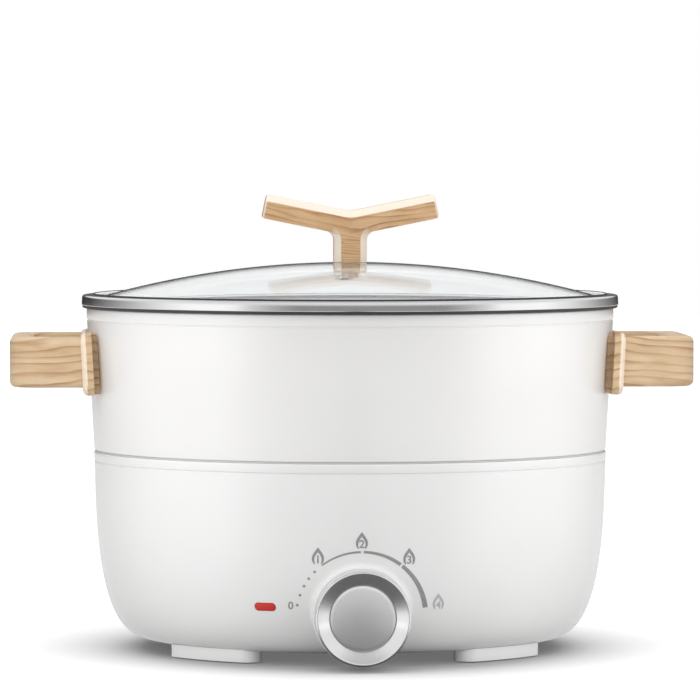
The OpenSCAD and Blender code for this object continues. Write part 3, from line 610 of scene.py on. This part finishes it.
def loop_run(p, middle):
    """Path along the front bar, round the corner and along the outer bar."""
    out, side, up = abs(p.x), abs(p.y), p.z - HANDLE_Z
    turn_x, turn_y = REACH - CORNER, HANDLE_W / 2 - CORNER
    if abs(middle.x) < LUG_X + FLANGE_T - 1.5:
        return (side * 0.9 + 60, up, out - 120)
    if abs(middle.x) < turn_x and abs(middle.y) > turn_y - 6:
        return (out - turn_x, up, side - turn_y)
    if abs(middle.x) >= turn_x and abs(middle.y) > turn_y:
        bend = atan2(out - turn_x, side - turn_y)
        return (bend * BEND_R, up, sqrt((out - turn_x) ** 2 + (side - turn_y) ** 2))
    return (BEND_R * pi / 2 + turn_y - side, up, out - turn_x)


def plate_edge(p, n):
    """How much painted highlight a face takes: the plate's bevels, clear of the bars."""
    clear = abs(p.z - HANDLE_Z) > BAR_H / 2 + 0.2 or abs(p.y) > HANDLE_W / 2 + 0.2
    return PAINTED_HIGHLIGHT_SHARE if clear and abs(p.x) > LUG_X + 3 and 0.2 < abs(n.x) < 0.97 else 0.0


def lean():
    """Leans the piece that is being made like the pot's wall, and moves it to its place there."""
    edit_all()
    bpy.ops.transform.rotate(value=-LEAN, orient_axis="Y", center_override=(0, 0, 0))
    shift(LUG_X, 0, HANDLE_Z)


def loop_bar(name):
    """The bar's section, pulled out of the plate, round a corner, across, round another and back."""
    start = LUG_X + FLANGE_T - BAR_SINK
    bpy.ops.object.select_all(action="DESELECT")
    bpy.ops.mesh.primitive_plane_add(
        size=1, location=(start * MM, (BAR_T - HANDLE_W) / 2 * MM, HANDLE_Z * MM), rotation=(0, pi / 2, 0)
    )
    bar = bpy.context.object
    bar.name = bar.data.name = name
    bar.scale = (BAR_H * MM, BAR_T * MM, 1)
    bpy.ops.object.transform_apply()
    bpy.ops.object.mode_set(mode="EDIT")
    bpy.ops.mesh.select_mode(type="VERT")
    edit_all()
    bpy.ops.mesh.bevel(offset=BAR_ROUND * MM, segments=6, affect="VERTICES")
    arm, across = REACH - CORNER - start, HANDLE_W - 2 * CORNER
    for count, x, y, hand in ((6, arm, 0, -1), (8, 0, across, 1), (6, -arm, 0, 0)):
        for _ in range(count):
            pull(x / count, y / count, 0)
        if hand:
            middle = ((REACH - CORNER) * MM, hand * across / 2 * MM, 0)
            bpy.ops.mesh.spin(steps=10, angle=-pi / 2, center=middle, axis=(0, 0, 1))
    edit_all()
    bpy.ops.mesh.remove_doubles(threshold=1e-6)
    bpy.ops.mesh.normals_make_consistent(inside=False)
    return smooth(bar)


def maths(mat, operation, *values):
    """The result of a sum on numbers or sockets."""
    return node(mat, "Math", dict(enumerate(values)), operation=operation).outputs[0]


def wood_look(name, seed, deep, light, rings):
    """Pale wood-grain finish: wavy brown year lines over a tan ground, fine pores along the grain, and a
    painted cream highlight where marked.
    """
    mat, shader = finish(name, deep, 0.4)
    grain = node(mat, "Attribute", attribute_name="grain").outputs["Vector"]
    shifted = node(mat, "VectorMath", {0: grain, 1: seed}, operation="ADD").outputs["Vector"]

    def stretched(*scale):
        """The place in the wood, stretched along or across the grain."""
        return node(mat, "Mapping", {"Vector": shifted, "Scale": scale}).outputs["Vector"]

    slow = stretched(0.02, 0.075, 0.05)
    part = node(mat, "SeparateXYZ", {"Vector": shifted}).outputs
    tilt = maths(mat, "MULTIPLY_ADD", part["X"], 0.018, maths(mat, "MULTIPLY", part["Y"], rings))
    waved = maths(mat, "MULTIPLY_ADD", noise(mat, slow, 1.0, rough=0.45), 14.0 * rings, tilt)
    line = ramp(mat, maths(mat, "FRACT", waved), (0.0, 0), (0.55, 0.12), (0.86, 0.8), (0.93, 1), (1.0, 0))
    ground = ramp(mat, noise(mat, slow, 2.6, 3.0), (0.3, deep), (0.7, light))
    patch = noise(mat, stretched(0.03, 0.12, 0.1), 1.0, 1.0)
    some = node(mat, "MapRange", {"Value": patch, "From Min": 0.35, "From Max": 0.65, "To Min": 0.4})
    lined = blend(mat, maths(mat, "MULTIPLY", line, some.outputs["Result"]), ground, YEAR_LINE)
    pores = noise(mat, stretched(0.12, 4.0, 4.0), 1.0)
    faint = node(mat, "MapRange", {"Value": pores, "From Min": 0.4, "From Max": 0.75, "To Max": 0.22})
    pored = blend(mat, faint.outputs["Result"], lined, PORE)
    # Painted highlight: faces that the edge attribute marks are blended towards pale cream
    highlight_share = node(mat, "Attribute", attribute_name="edge").outputs["Fac"]
    surface(mat, shader, blend(mat, highlight_share, pored, PAINTED_HIGHLIGHT), pores, 0.36, 0.5, 0.06, 0.0002)
    return mat


for hand, way, seed in ((1, "right", (7.0, 3.0, 1.0)), (-1, "left", (33.0, 11.0, 5.0))):
    name = "handle_" + way
    loop = loop_bar(name + "_skin")
    plate = block("plate", (FLANGE_T, PLATE_W, PLATE_H), (FLANGE_T / 2, 0, PLATE_MID))
    rounded(plate, 6, 7, lambda p, d: abs(d.x) > 0.9)
    rounded(plate, 3, 3, lambda p, d: p.x > FLANGE_T - 0.01)
    edit_all()
    bpy.ops.mesh.subdivide(number_cuts=3)
    lean()
    smooth(plate, 25)
    saddle = block("saddle", (SADDLE_T, SADDLE_W, SADDLE_H), (0.1 - SADDLE_T / 2, 0, PLATE_MID))
    rounded(saddle, 5, 5, lambda p, d: abs(d.x) > 0.9)
    lean()
    smooth(saddle)
    bpy.ops.object.select_all(action="DESELECT")
    bpy.ops.mesh.primitive_cone_add(
        vertices=240, radius1=WALL_FOOT_R * MM, radius2=WALL_TOP_R * MM, depth=WALL_H * MM,
        location=(0, 0, WALL_MID_Z * MM),
    )
    united(loop, plate, cut(saddle, bpy.context.object))
    if hand < 0:
        edit_all()
        bpy.ops.transform.resize(value=(-1, 1, 1), center_override=(0, 0, 0))
        bpy.ops.mesh.normals_make_consistent(inside=False)
        bpy.ops.object.mode_set(mode="OBJECT")
    grained(loop, loop_run)
    face_mark(loop, "edge", plate_edge)
    dress(loop, wood_look("wood_" + way, seed, *LOOP_TAN, 0.2))
    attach(loop, "pot")
    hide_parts(name)

# Lid rim
# A polished steel band, rolled round the edge of the glass, with a skirt that centres the lid in the pot.
# Black rubber rings are painted shade, not a gasket: a bead gives the fine dark line along its top and a
# fringe the dark line at the collar;
# a pale silicone lining fills the channel round the glass and covers the skirt.
LID_Z = 190.9
RIM_STEPS = 300
rolled = [(147.2, 0), (147.4, 0.2), (147.4, 1), (149.9, 1), (149.98, 1.06), (150, 1.16), (149.997, 1.3)]
rolled += [(149.96, 2.7), (149.9, 3.9), (149.8, 5.25), (149.7, 5.7), (149.45, 6.1), (149.0, 6.35)]
rolled += [(148.4, 6.45), (143.9, 6.45), (143.7, 6.25), (143.7, 5.5), (148.5, 5.5), (148.9, 5.1)]
rolled += [(148.9, 1.9), (148.3, 1.45), (147.3, 1.45), (146.6, 0.8), (141.8, 0.8), (141.8, -3.4)]
rolled += [(142.6, -3.4), (142.6, 0)]
rim_skin = turned("rim_skin", raised(rolled, LID_Z), steps=RIM_STEPS)
rim_steel = metal("rim_steel", (0.74, 0.74, 0.745), 0.14, lines=900.0, depth=0.02, shade=0.03)
dress(rim_skin, rim_steel)
dress_nodes(rim_steel, "steam_vent")
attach(rim_skin, "lid")
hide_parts("lid_rim")


def rim_rings(name, *profiles):
    """Rings at the lid's rim in one piece, each turned from its own profile."""
    return united(*[turned(name, raised(shape, LID_Z), steps=RIM_STEPS) for shape in profiles])


# Painted shade: two dark rubber rings where there is only shade, a bead on the rim's top and a fringe under
# its band
bead = [(142.6, 6.3), (143.6, 6.3), (143.6, 7.0), (143.45, 7.3), (143.1, 7.4), (142.75, 7.3), (142.6, 7.0)]
fringe = [(147.45, -0.6), (149.2, -0.6), (149.6, -0.3), (149.6, 0.97), (147.45, 0.97)]
shade_rings = rim_rings("rim_shade_rings", bead, fringe)
dress(shade_rings, rubber)
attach(shade_rings, "lid")
skirt_lip = [(141.1, -3.0), (141.3, -3.3), (141.75, -3.3), (141.75, 0.7), (141.3, 0.7), (141.1, 0.4)]
pad = [(141.0, 5.4), (143.6, 5.4), (143.6, 6.25), (142.55, 6.25), (142.55, 7.0), (141.8, 7.0), (141.2, 6.4)]
clasp = [(143.75, 5.35), (147.1, 5.35), (147.1, 1.55), (148.2, 1.55), (148.75, 2.0), (148.75, 5.0)]
clasp += [(148.35, 5.45), (143.75, 5.45)]
lining = rim_rings("skirt_lining", skirt_lip, pad, clasp)
silicone = moulded("seal_silicone", (0.9, 0.9, 0.895), 0.5, cloud=0.03, grain=0.1)
dress(lining, silicone)
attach(lining, "lid")

# Lid glass and seals
# Clear tempered glass, pressed to a shallow dome with a flat edge that the rim clasps.
# Translucent silicone seals lie under its edge and at the screw of the handle.
DOME_C = 516.4
DOME_H = 24.5
DOME_MID = LID_Z + DOME_H - DOME_C
GLASS_T = 3.5
HOLE_R = 3.5
VENT_R = 4.05
VENT_AT = radians(8)
CLEAR = (0.97, 0.985, 0.99)


def dome_points(size, first, last, steps):
    """Points of the dome's profile between two radii."""
    spots = [first + (last - first) * i / steps for i in range(steps + 1)]
    return [(r, DOME_MID + sqrt(size * size - r * r)) for r in spots]


brim = [(139.8, 5.36), (140.8, 5.3), (146.6, 5.3), (147, 4.9), (147, 2.2), (146.6, 1.8), (141.2, 1.8)]
brim += [(139.8, 1.88)]
upper, under = dome_points(DOME_C, HOLE_R, 139, 40), dome_points(DOME_C - GLASS_T, 138.6, HOLE_R, 40)
glass_skin = turned("glass_skin", upper + raised(brim, LID_Z) + under, steps=256)
bpy.ops.object.select_all(action="DESELECT")
bpy.ops.mesh.primitive_cylinder_add(
    vertices=64, radius=VENT_R * MM, depth=24 * MM, rotation=(-VENT_AT, 0, 0),
    location=(0, DOME_C * sin(VENT_AT) * MM, (DOME_MID + DOME_C * cos(VENT_AT)) * MM),
)
smooth(cut(glass_skin, bpy.context.object))
glass, shader = finish("lid_glass", CLEAR, 0.0)
spot = spot_of(glass)
wave = noise(glass, spot, 9.0, 1.0)
bump = node(glass, "Bump", {"Height": wave, "Strength": 0.02, "Distance": 0.001})
# Painted shade: where the dome's outer face is seen edge-on its colour turns dark grey, drawing a dark
# outline
slant = node(glass, "LayerWeight", {"Blend": 0.5}).outputs["Facing"]
edge = ramp(glass, slant, (0.0, CLEAR), (0.93, (0.96, 0.97, 0.975)), (0.95, (0.35, 0.36, 0.37)))
centre = (0, 0, DOME_MID * MM)
out = node(glass, "VectorMath", {0: spot, 1: centre}, operation="DISTANCE").outputs["Value"]
outer = maths(glass, "GREATER_THAN", out, (DOME_C - 1.5) * MM)
fill(glass, shader, {
    "Base Color": blend(glass, outer, (*CLEAR, 1), edge), "Normal": bump.outputs["Normal"],
    "Transmission Weight": 1.0, "IOR": 1.1,
})
lamp_rays = node(glass, "LightPath").outputs["Is Shadow Ray"]
through = node(glass, "BsdfTransparent", {"Color": (0.93, 0.95, 0.955, 1)})
mixed = node(glass, "MixShader", {0: lamp_rays, 1: shader.outputs[0], 2: through.outputs[0]})
fill(glass, glass.node_tree.nodes["Material Output"], {"Surface": mixed.outputs[0]})
dress(glass_skin, glass)
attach(glass_skin, "lid")
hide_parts("lid_glass")
dress_nodes(silicone, "rim_seal", "stem_seal", "lid_seal")

# Lid handle
# A fork of the same wood-look resin: a square stem that opens into two rising arms.
# Its front and back edges are bevelled and carry a painted pale highlight, and one screw from under the glass
# holds it.
STEM_Z = 215.45
FORK_Z = 244.0
FORK_W = 99.0
FORK_D = 20.0
CHAMFER = 3.9
RISE = radians(11.4)
ARM_T = 13.6
STEM_HALF = 9.2
FORK_FILLET = 5.0
FILLET_DROP = 2.3
slope = tan(RISE)
under_arm = FORK_Z - ARM_T / cos(RISE)
end_x = FORK_W / 2
top_x = end_x - ARM_T * sin(RISE)
fillet = [
    (STEM_HALF + FORK_FILLET * (1 - cos(radians(a))), under_arm - FILLET_DROP + FORK_FILLET * sin(radians(a)))
    for a in range(0, 78, 11)
]
half = [(STEM_HALF, z) for z in (STEM_Z, STEM_Z + 6, under_arm - 4)] + fillet
half += [(x, under_arm + slope * x) for x in (18, 23, 28, 33, 38, 43, end_x)]
half += [(x, FORK_Z + slope * x) for x in (top_x, 41, 36, 31, 26, 21, 16, 12, 9, 6, 3)]
shape = half + [(0, FORK_Z + slope * 1.2)] + [(-x, z) for x, z in half[::-1]]
fork = outline("lid_handle_skin", shape)
bpy.ops.mesh.edge_face_add()
shift(0, -FORK_D / 2, 0)
pull(0, FORK_D, 0)
edit_all()
bpy.ops.mesh.normals_make_consistent(inside=False)
rim_spots = {(round(x, 2), round(z, 2)) for x, z in shape}


def on_face(p, face, rim):
    """A point of the front or back face, on its outline or inside it."""
    return abs(p.y - face * FORK_D / 2) < 0.01 and ((round(p.x, 2), round(p.z, 2)) in rim_spots) == rim


def past_end(p):
    """How far a point lies beyond the end of its arm, in mm."""
    return (abs(p.x) - end_x) * cos(RISE) + (p.z - under_arm - slope * end_x) * sin(RISE)


def nudge(face, rim, test, step):
    """Moves the points of a face that pass a test, on its outline or inside it, by a step in mm."""
    pick(fork, lambda p, n: on_face(p, face, rim) and test(p), "VERT")
    shift(*step)


for face in (-1, 1):
    pick(fork, lambda p, n: n.y * face > 0.9)
    bpy.ops.mesh.inset(thickness=CHAMFER * MM, depth=0)
    nudge(face, False, lambda p: p.z < STEM_Z + CHAMFER + 0.1, (0, 0, -CHAMFER))
    for hand in (-1, 1):
        step = (hand * CHAMFER * cos(RISE), 0, CHAMFER * sin(RISE))
        nudge(face, False, lambda p: p.x * hand > 0 and past_end(p) > -CHAMFER - 0.1, step)
    back = -face * CHAMFER
    nudge(face, True, lambda p: p.z > under_arm + slope * abs(p.x) + 1, (0, back, 0))
    nudge(face, True, lambda p: abs(p.x) < STEM_HALF + 0.1 and p.z < under_arm - 2, (0, back, 0))
    for i, (x, z) in enumerate(fillet[1:], 1):
        share = 1 - i / len(fillet)
        nudge(face, True, lambda p: abs(abs(p.x) - x) + abs(p.z - z) < 0.02, (0, back * share, 0))
pick(fork, lambda p, d: abs(past_end(p)) < 0.02 and 0.2 < abs(d.y) < 0.4, "EDGE")
bpy.ops.mesh.dissolve_edges()
rounded(fork, 1.8, 4, lambda p, d: abs(past_end(p)) < 0.02)
for height, normal in ((under_arm + 1, (0, 0, 1)), (0, (1, 0, 0))):
    edit_all()
    bpy.ops.mesh.bisect(plane_co=(0, 0, height * MM), plane_no=normal)
softened(fork, 0.7, 28)
smooth(fork, 24)


def fork_run(p, middle):
    """Along the arms, and across the stem."""
    if middle.z < under_arm + 1 and abs(middle.x) < 12:
        return (p.x + 70, (p.z - FORK_Z) * 2.2, p.y)
    return (p.x, p.z - FORK_Z - slope * abs(p.x), p.y)


def fork_edge(p, n):
    """How much painted highlight a face takes: the bevels of the front and back, more where they are steeper.
    """
    return min(1.0, max(0.0, (0.95 - abs(n.y)) / 0.2)) if abs(n.y) > 0.3 else 0.0


grained(fork, fork_run)
face_mark(fork, "edge", fork_edge)
dress(fork, wood_look("wood_lid", (51.0, 23.0, 9.0), (0.6, 0.37, 0.185), (0.75, 0.51, 0.29), 0.3))
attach(fork, "lid")
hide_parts("lid_handle")

# Knob
# A spun metal ring, dished towards its middle, round a satin metal cap; both sit on a resin core.
# It turns on the shaft of the rotary switch.
KNOB_BACK = 143.5
KNOB_FRONT = 160.5
DISH = 4.6


def facing(piece):
    """Turns a piece made round +Z so that it faces the front at the dial, its height along -Y."""
    edit_all()
    bpy.ops.transform.rotate(value=-pi / 2, orient_axis="X", center_override=(0, 0, 0))
    shift(0, 0, KNOB_Z)
    bpy.ops.object.mode_set(mode="OBJECT")
    return piece


dish = KNOB_FRONT - DISH
rear = [(23.4, 0), (25.0, 0), (25.2, 0.1), (25.4, 0.4)]
crest = [(25.4, -1.2), (25.3, -0.7), (25.05, -0.25), (24.7, -0.03), (24.4, 0), (24.1, -0.08), (23.7, -0.4)]
crest += [(22.5, -1.5), (21, -2.7), (19.5, -3.75)]
well = [(18.3, -0.05), (18.05, -0.25), (18.0, -0.6), (18.0, -2.8), (16.7, -2.8)]
bore = [(16.7, 7.8), (23.4, 7.8)]
ring = raised(rear, KNOB_BACK) + raised(crest, KNOB_FRONT) + raised(well, dish) + raised(bore, KNOB_BACK)
knob_ring = facing(turned("knob_ring_skin", ring, steps=160))
cap = [(0, -2.7), (17.5, -2.7), (17.5, -1.2), (17.4, -0.95), (17.1, -0.8)]
cap += [(17.1 * (1 - i / 12), 0.9 * (1 - (1 - i / 12) ** 2) - 0.8) for i in range(1, 13)]
knob_cap = facing(turned("knob_cap_skin", raised(cap, dish), steps=160, closed=False))


def spun(name, colour, rough, depth, edge=1.0):
    """Metal turned on a lathe: fine rings round the knob's axis, and painted light that brightens it towards
    the rim by edge.
    """
    mat, shader = finish(name, colour, rough, 1.0)
    spot = spot_of(mat)
    part = node(mat, "SeparateXYZ", {"Vector": spot}).outputs
    up = maths(mat, "SUBTRACT", part["Z"], KNOB_Z * MM)
    radius, rings = lathe_lines(mat, part["X"], up, part["Y"])
    tint = ramp(mat, noise(mat, spot, 60.0), (0.3, tone(colour, 0.97)), (0.7, tone(colour, 1.02)))
    # Painted light: the colour is scaled from 1 near the middle to edge at the rim
    painted_rim_light = ramp(mat, radius, (0.004, 1), (0.0165, edge))
    both = blend(mat, 1.0, tint, painted_rim_light, blend_type="MULTIPLY")
    surface(mat, shader, both, noise(mat, rings, 2600.0), rough * 0.8, rough * 1.2, depth)
    return mat


dress(knob_ring, spun("knob_metal", (0.8, 0.8, 0.8), 0.22, 0.05))
# The cap's painted light makes its rim a tenth brighter
dress(knob_cap, spun("cap_metal", (0.86, 0.86, 0.86), 0.4, 0.1, edge=1.1))
for piece, name in ((knob_ring, "knob_ring"), (knob_cap, "knob_cap")):
    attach(piece, "knob")
    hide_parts(name)

# Pilot lamp
# A red lens like a small pill, pressed into a slot in the shell from behind, with a neon lamp in a holder.
# Its face is rounded and stands a little proud of the wall.
LAMP_R, LAMP_Z = side(0.512)
ahead, behind = side(0.522), side(0.502)
LAMP_TIP = atan2(ahead[0] - behind[0], ahead[1] - behind[1])
LAMP_AT = radians(-22.1)
LENS = (12.5, 5, 4.9)
LENS_FRONT = 0.4
lens = block("lamp_lens_skin", LENS, (0, 0, LENS_FRONT - LENS[2] / 2))
rounded(lens, 2.48, 10, lambda p, d: abs(d.z) > 0.9)
rounded(lens, 0.9, 4, lambda p, d: p.z > LENS_FRONT - 0.01)
edit_all()
bpy.ops.mesh.remove_doubles(threshold=1e-6)
smooth(lens, 40)
# Painted shade: faces are marked by how far they turn away from the lens's front
face_mark(lens, "edge", lambda p, n: min(1.0, max(0.0, 1.15 - n.z)))
lens.rotation_euler = (pi / 2 + LAMP_TIP, 0, LAMP_AT)
lens.location = (LAMP_R * sin(LAMP_AT) * MM, -LAMP_R * cos(LAMP_AT) * MM, LAMP_Z * MM)
bpy.ops.object.transform_apply()
lamp_red, shader = finish("lamp_red", (0.6, 0.02, 0.015), 0.12)
spot = spot_of(lamp_red)
ribs = node(lamp_red, "TexWave", {"Vector": spot, "Scale": 260.0, "Distortion": 0.4}, bands_direction="X")
red = ramp(lamp_red, ribs.outputs["Fac"], (0.0, (0.52, 0.012, 0.01)), (1.0, (0.68, 0.03, 0.02)))
# Painted shade: the marked faces of the lens are darkened to deep maroon
dim = node(lamp_red, "Attribute", attribute_name="edge").outputs["Fac"]
deep = blend(lamp_red, dim, red, (0.06, 0.003, 0.003, 1))
fill(lamp_red, shader, {"Base Color": deep, "Emission Color": deep, "Emission Strength": 0.15})
dress(lens, lamp_red)
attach(lens, "base")
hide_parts("lamp_lens")
dress_nodes(white, "lamp_holder")
neon, shader = finish("lamp_glass", (0.9, 0.6, 0.42), 0.08)
glow = noise(neon, spot_of(neon), 400.0)
warm = ramp(neon, glow, (0.3, (0.85, 0.5, 0.32)), (0.7, (0.95, 0.68, 0.5)))
fill(neon, shader, {"Base Color": warm, "Transmission Weight": 0.6})
dress_nodes(neon, "pilot_lamp")

# Dial print
# Grey ink pad-printed on the shell round the knob: dots from 0, arcs that thicken from 1 to 4,
# and a flame with a number at each setting. The ink follows the curve of the wall.
INK_R = 34.7
INK_Z = KNOB_Z - 0.25
INK_T = 0.07


def on_wall(x, z):
    """A point of the shell's wall at x and z, in metres, a little proud of it."""
    r = wall_r(z)
    proud = 1 + INK_T / r
    return (x * proud * MM, -sqrt(max(r * r - x * x, 0)) * proud * MM, z * MM)


def ink(name, rows):
    """A strip of ink from rows of points (x, z) measured from the knob's axis."""
    return sheet(name, [[on_wall(x, INK_Z + z) for x, z in row] for row in rows])


def sweep(first, last, thick_a, thick_b):
    """An arc of ink from one angle to another, its thickness growing."""
    rows = []
    for i in range(25):
        t = i / 24
        a = radians(first + (last - first) * t)
        h = (thick_a + (thick_b - thick_a) * t) / 2
        rows.append([((INK_R + d) * cos(a), (INK_R + d) * sin(a)) for d in (-h, 0, h)])
    return ink("ink_arc", rows)


def dot(angle, size):
    """A round dot of ink on the dial's circle."""
    cx, cz = INK_R * cos(radians(angle)), INK_R * sin(radians(angle))
    ring = [radians(a) for a in range(0, 361, 20)]
    return ink("ink_dot", [[(cx, cz), (cx + size * cos(a), cz + size * sin(a))] for a in ring])


def flame(x, z, size):
    """The outline of a flame, open at the foot: two strokes that meet in a thick point at the top."""
    outer = (0, 0.075, 0.15, 0.22, 0.285, 0.33, 0.355, 0.36, 0.345, 0.305, 0.24)
    inner = (0, 0, 0, 0.01, 0.085, 0.15, 0.195, 0.215, 0.215, 0.2, 0.175)
    strokes = []
    for hand in (-1, 1):
        rows = []
        for i in range(11):
            up = z + size * (0.5 - i / 10)
            rows.append([(x + hand * outer[i] * size, up), (x + hand * inner[i] * size, up)])
        strokes.append(ink("ink_flame", rows))
    return strokes


def numeral(text, x, z, size):
    """A number of the dial, its flat letter form laid on the wall."""
    bpy.ops.object.select_all(action="DESELECT")
    bpy.ops.object.text_add()
    piece = bpy.context.object
    piece.data.body, piece.data.size = text, size
    piece.data.offset = 0.022 * size
    piece.data.align_x, piece.data.align_y = "CENTER", "CENTER"
    bpy.ops.object.convert(target="MESH")
    piece = bpy.context.object
    piece.name = piece.data.name = "ink_number"
    for v in piece.data.vertices:
        v.co = on_wall(x + v.co.x, INK_Z + z + v.co.y)
    return face_front(piece)


marks = [dot(a, 0.75) for a in (170.6, 161.2, 152.3, 144.4, 136.4)]
marks += [sweep(127.8, 90.9, 0.8, 1.2), sweep(88.3, 53.0, 1.35, 1.95), sweep(51.0, 6.9, 2.0, 2.8)]
for x, z, text in ((-23.4, 32.7, "1"), (0, 41.0, "2"), (25.5, 32.3, "3")):
    marks += flame(x, z, 9.0) + [numeral(text, x, z - 2.2, 6.0)]
marks += [numeral("0", -37.7, 5.2, 5.8)]
pale_marks = flame(41.6, 7.4, 8.6) + [numeral("4", 41.6, 5.2, 5.6)]
dial_print = united(*marks)
dial_print.name = "dial_print"
pale_print = united(*pale_marks)
pale_print.name = "dial_print_four"


def printed(name, colour):
    """Pad-printed ink: slightly uneven cover."""
    mat, shader = finish(name, colour, 0.35)
    cover = noise(mat, spot_of(mat), 700.0)
    shade = ramp(mat, cover, (0.3, tone(colour, 0.93)), (0.7, tone(colour, 1.07)))
    fill(mat, shader, {"Base Color": shade})
    return mat


dress(dial_print, printed("print_grey", (0.3, 0.3, 0.3)))
dress(pale_print, printed("print_pale", (0.5, 0.5, 0.5)))
for piece in (dial_print, pale_print):
    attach(piece, "base")

# Studio
# A pale floor that keeps the object's shadow, soft lamps at both sides, in front and above,
# and a camera a little above the lid, at the photo's distance and angle.
bpy.ops.object.select_all(action="DESELECT")
bpy.ops.mesh.primitive_circle_add(vertices=96, radius=6, fill_type="NGON", location=(0, 0, -0.0002))
floor = bpy.context.object
floor.name = "floor"
edit_all()
bpy.ops.mesh.inset(thickness=0.5)
bpy.ops.object.mode_set(mode="OBJECT")
pale, shader = finish("floor_pale", (0.8, 0.8, 0.8), 0.9)
rays = node(pale, "LightPath").outputs
seen = maths(pale, "MAXIMUM", rays["Is Camera Ray"], rays["Is Transmission Ray"])
mirror = rays["Is Glossy Ray"]
# Painted reflection: in shiny surfaces the floor is darker than to other rays, and glows on both sides of the
# middle (card below)
away = blend(pale, mirror, (0.42, 0.42, 0.42, 1), (0.16, 0.16, 0.16, 1))
board = blend(pale, seen, away, (0.45, 0.45, 0.45, 1))
# Painted shadow: to the camera and through glass the floor also glows by its distance from the axis in an
# oval, faintly under the base, least just round it and fully white from 0.3 m; the lamps' real shadow lies on
# top
spot = spot_of(pale)
oval = node(pale, "VectorMath", {0: spot, 1: (1.22, 1, 1)}, operation="MULTIPLY").outputs["Vector"]
far = node(pale, "VectorMath", {0: oval}, operation="LENGTH").outputs["Value"]
glow = [(0.11, 0.14), (0.125, 0.08), (0.14, 0.07), (0.155, 0.22), (0.167, 0.34), (0.18, 0.44), (0.195, 0.53)]
glow += [(0.215, 0.62), (0.3, 1.0)]
shown = maths(pale, "MULTIPLY", seen, ramp(pale, far, *glow))
aside = maths(pale, "ABSOLUTE", node(pale, "SeparateXYZ", {"Vector": spot}).outputs["X"])
card = node(
    pale, "MapRange", {"Value": aside, "From Min": 0.03, "From Max": 0.12, "To Max": 0.85},
    interpolation_type="SMOOTHSTEP",
)
lift = maths(pale, "MULTIPLY_ADD", mirror, card.outputs["Result"], shown)
fill(pale, shader, {
    "Base Color": board, "Emission Color": (1, 1, 1, 1), "Emission Strength": lift, "Specular IOR Level": 0.0,
})
dress(floor, pale)


def softbox(name, place, aim, size, power):
    """A soft area lamp, out of the camera's sight."""
    data = bpy.data.lights.new(name, "AREA")
    data.shape, data.size, data.size_y, data.energy = "RECTANGLE", size[0], size[1], power
    lamp = bpy.data.objects.new(name, data)
    bpy.context.collection.objects.link(lamp)
    lamp.location = place
    lamp.rotation_euler = (Vector(aim) - Vector(place)).to_track_quat("-Z", "Y").to_euler()
    lamp.visible_camera = False
    lamp.visible_glossy = False


softbox("left_strip", (-0.253, -0.228, 0.2), (0, 0, 0.2), (0.1, 0.4), 0.3)
softbox("right_strip", (0.253, -0.228, 0.2), (0, 0, 0.2), (0.1, 0.4), 0.3)
softbox("low_box", (0.0, -1.3, 0.06), (0, 0, 0.02), (1.4, 0.12), 2.7)
softbox("top_box", (0.0, 0.1, 1.5), (0, 0, 0.1), (1.4, 1.4), 9.0)

world = bpy.data.worlds.new("studio")
bpy.context.scene.world = world
world.use_nodes = True
world.node_tree.nodes.clear()
CARD_TURN = radians(6)
rays = node(world, "LightPath").outputs
gaze = node(world, "TexCoord").outputs["Generated"]
up = node(world, "SeparateXYZ", {"Vector": gaze}).outputs["Z"]
aim = (-sin(CARD_TURN), cos(CARD_TURN), 0)
ahead = node(world, "VectorMath", {0: gaze, 1: aim}, operation="DOT_PRODUCT").outputs["Value"]
turn = node(world, "MapRange", {"Value": ahead, "From Min": -1.0, "From Max": 1.0}).outputs["Result"]
stops = [(0.0, 0.24), (0.07, 0.23), (0.13, 0.42), (0.19, 0.65), (0.24, 0.95), (0.33, 1.0), (0.42, 1.0)]
stops += [(0.58, 0.75), (0.7, 0.5), (0.8, 0.3), (0.88, 0.17), (0.96, 0.05), (1.0, 0.03)]
flank = maths(world, "MULTIPLY", ramp(world, turn, *stops), 1.3)
height = node(
    world, "MapRange", {"Value": up, "From Min": 0.09, "From Max": 0.22}, interpolation_type="SMOOTHSTEP"
).outputs["Result"]
high = {"Value": up, "From Min": 0.7, "From Max": 0.95, "To Min": 0.95, "To Max": 0.62}
mirrored = blend(world, height, flank, node(world, "MapRange", high).outputs["Result"], "FLOAT")
seen = maths(world, "MAXIMUM", rays["Is Camera Ray"], rays["Is Transmission Ray"])
soft_light = blend(world, rays["Is Glossy Ray"], 0.66, mirrored, "FLOAT")
level = blend(world, seen, soft_light, 1.0, "FLOAT")
glow = node(world, "Background", {"Color": (1, 1, 1, 1), "Strength": level})
fill(world, node(world, "OutputWorld"), {"Surface": glow.outputs[0]})

CAMERA_AT = radians(-2.57)
CAMERA_D = 3.0
CAMERA_H = 0.2764
HORIZON = 153.0
PIXELS = 700.0
PIXELS_PER_MM = 1.787
SENSOR = 36.0
focal = PIXELS_PER_MM / MM * CAMERA_D
eye = bpy.data.cameras.new("camera")
eye.sensor_width = SENSOR
eye.lens = focal * SENSOR / PIXELS
eye.clip_end = 50
camera = bpy.data.objects.new("camera", eye)
bpy.context.collection.objects.link(camera)
camera.location = (CAMERA_D * sin(CAMERA_AT), -CAMERA_D * cos(CAMERA_AT), CAMERA_H)
camera.rotation_euler = (pi / 2 - atan2(PIXELS / 2 - HORIZON, focal), 0, CAMERA_AT)
bpy.context.scene.camera = camera
bpy.context.scene.view_settings.view_transform = "Standard"
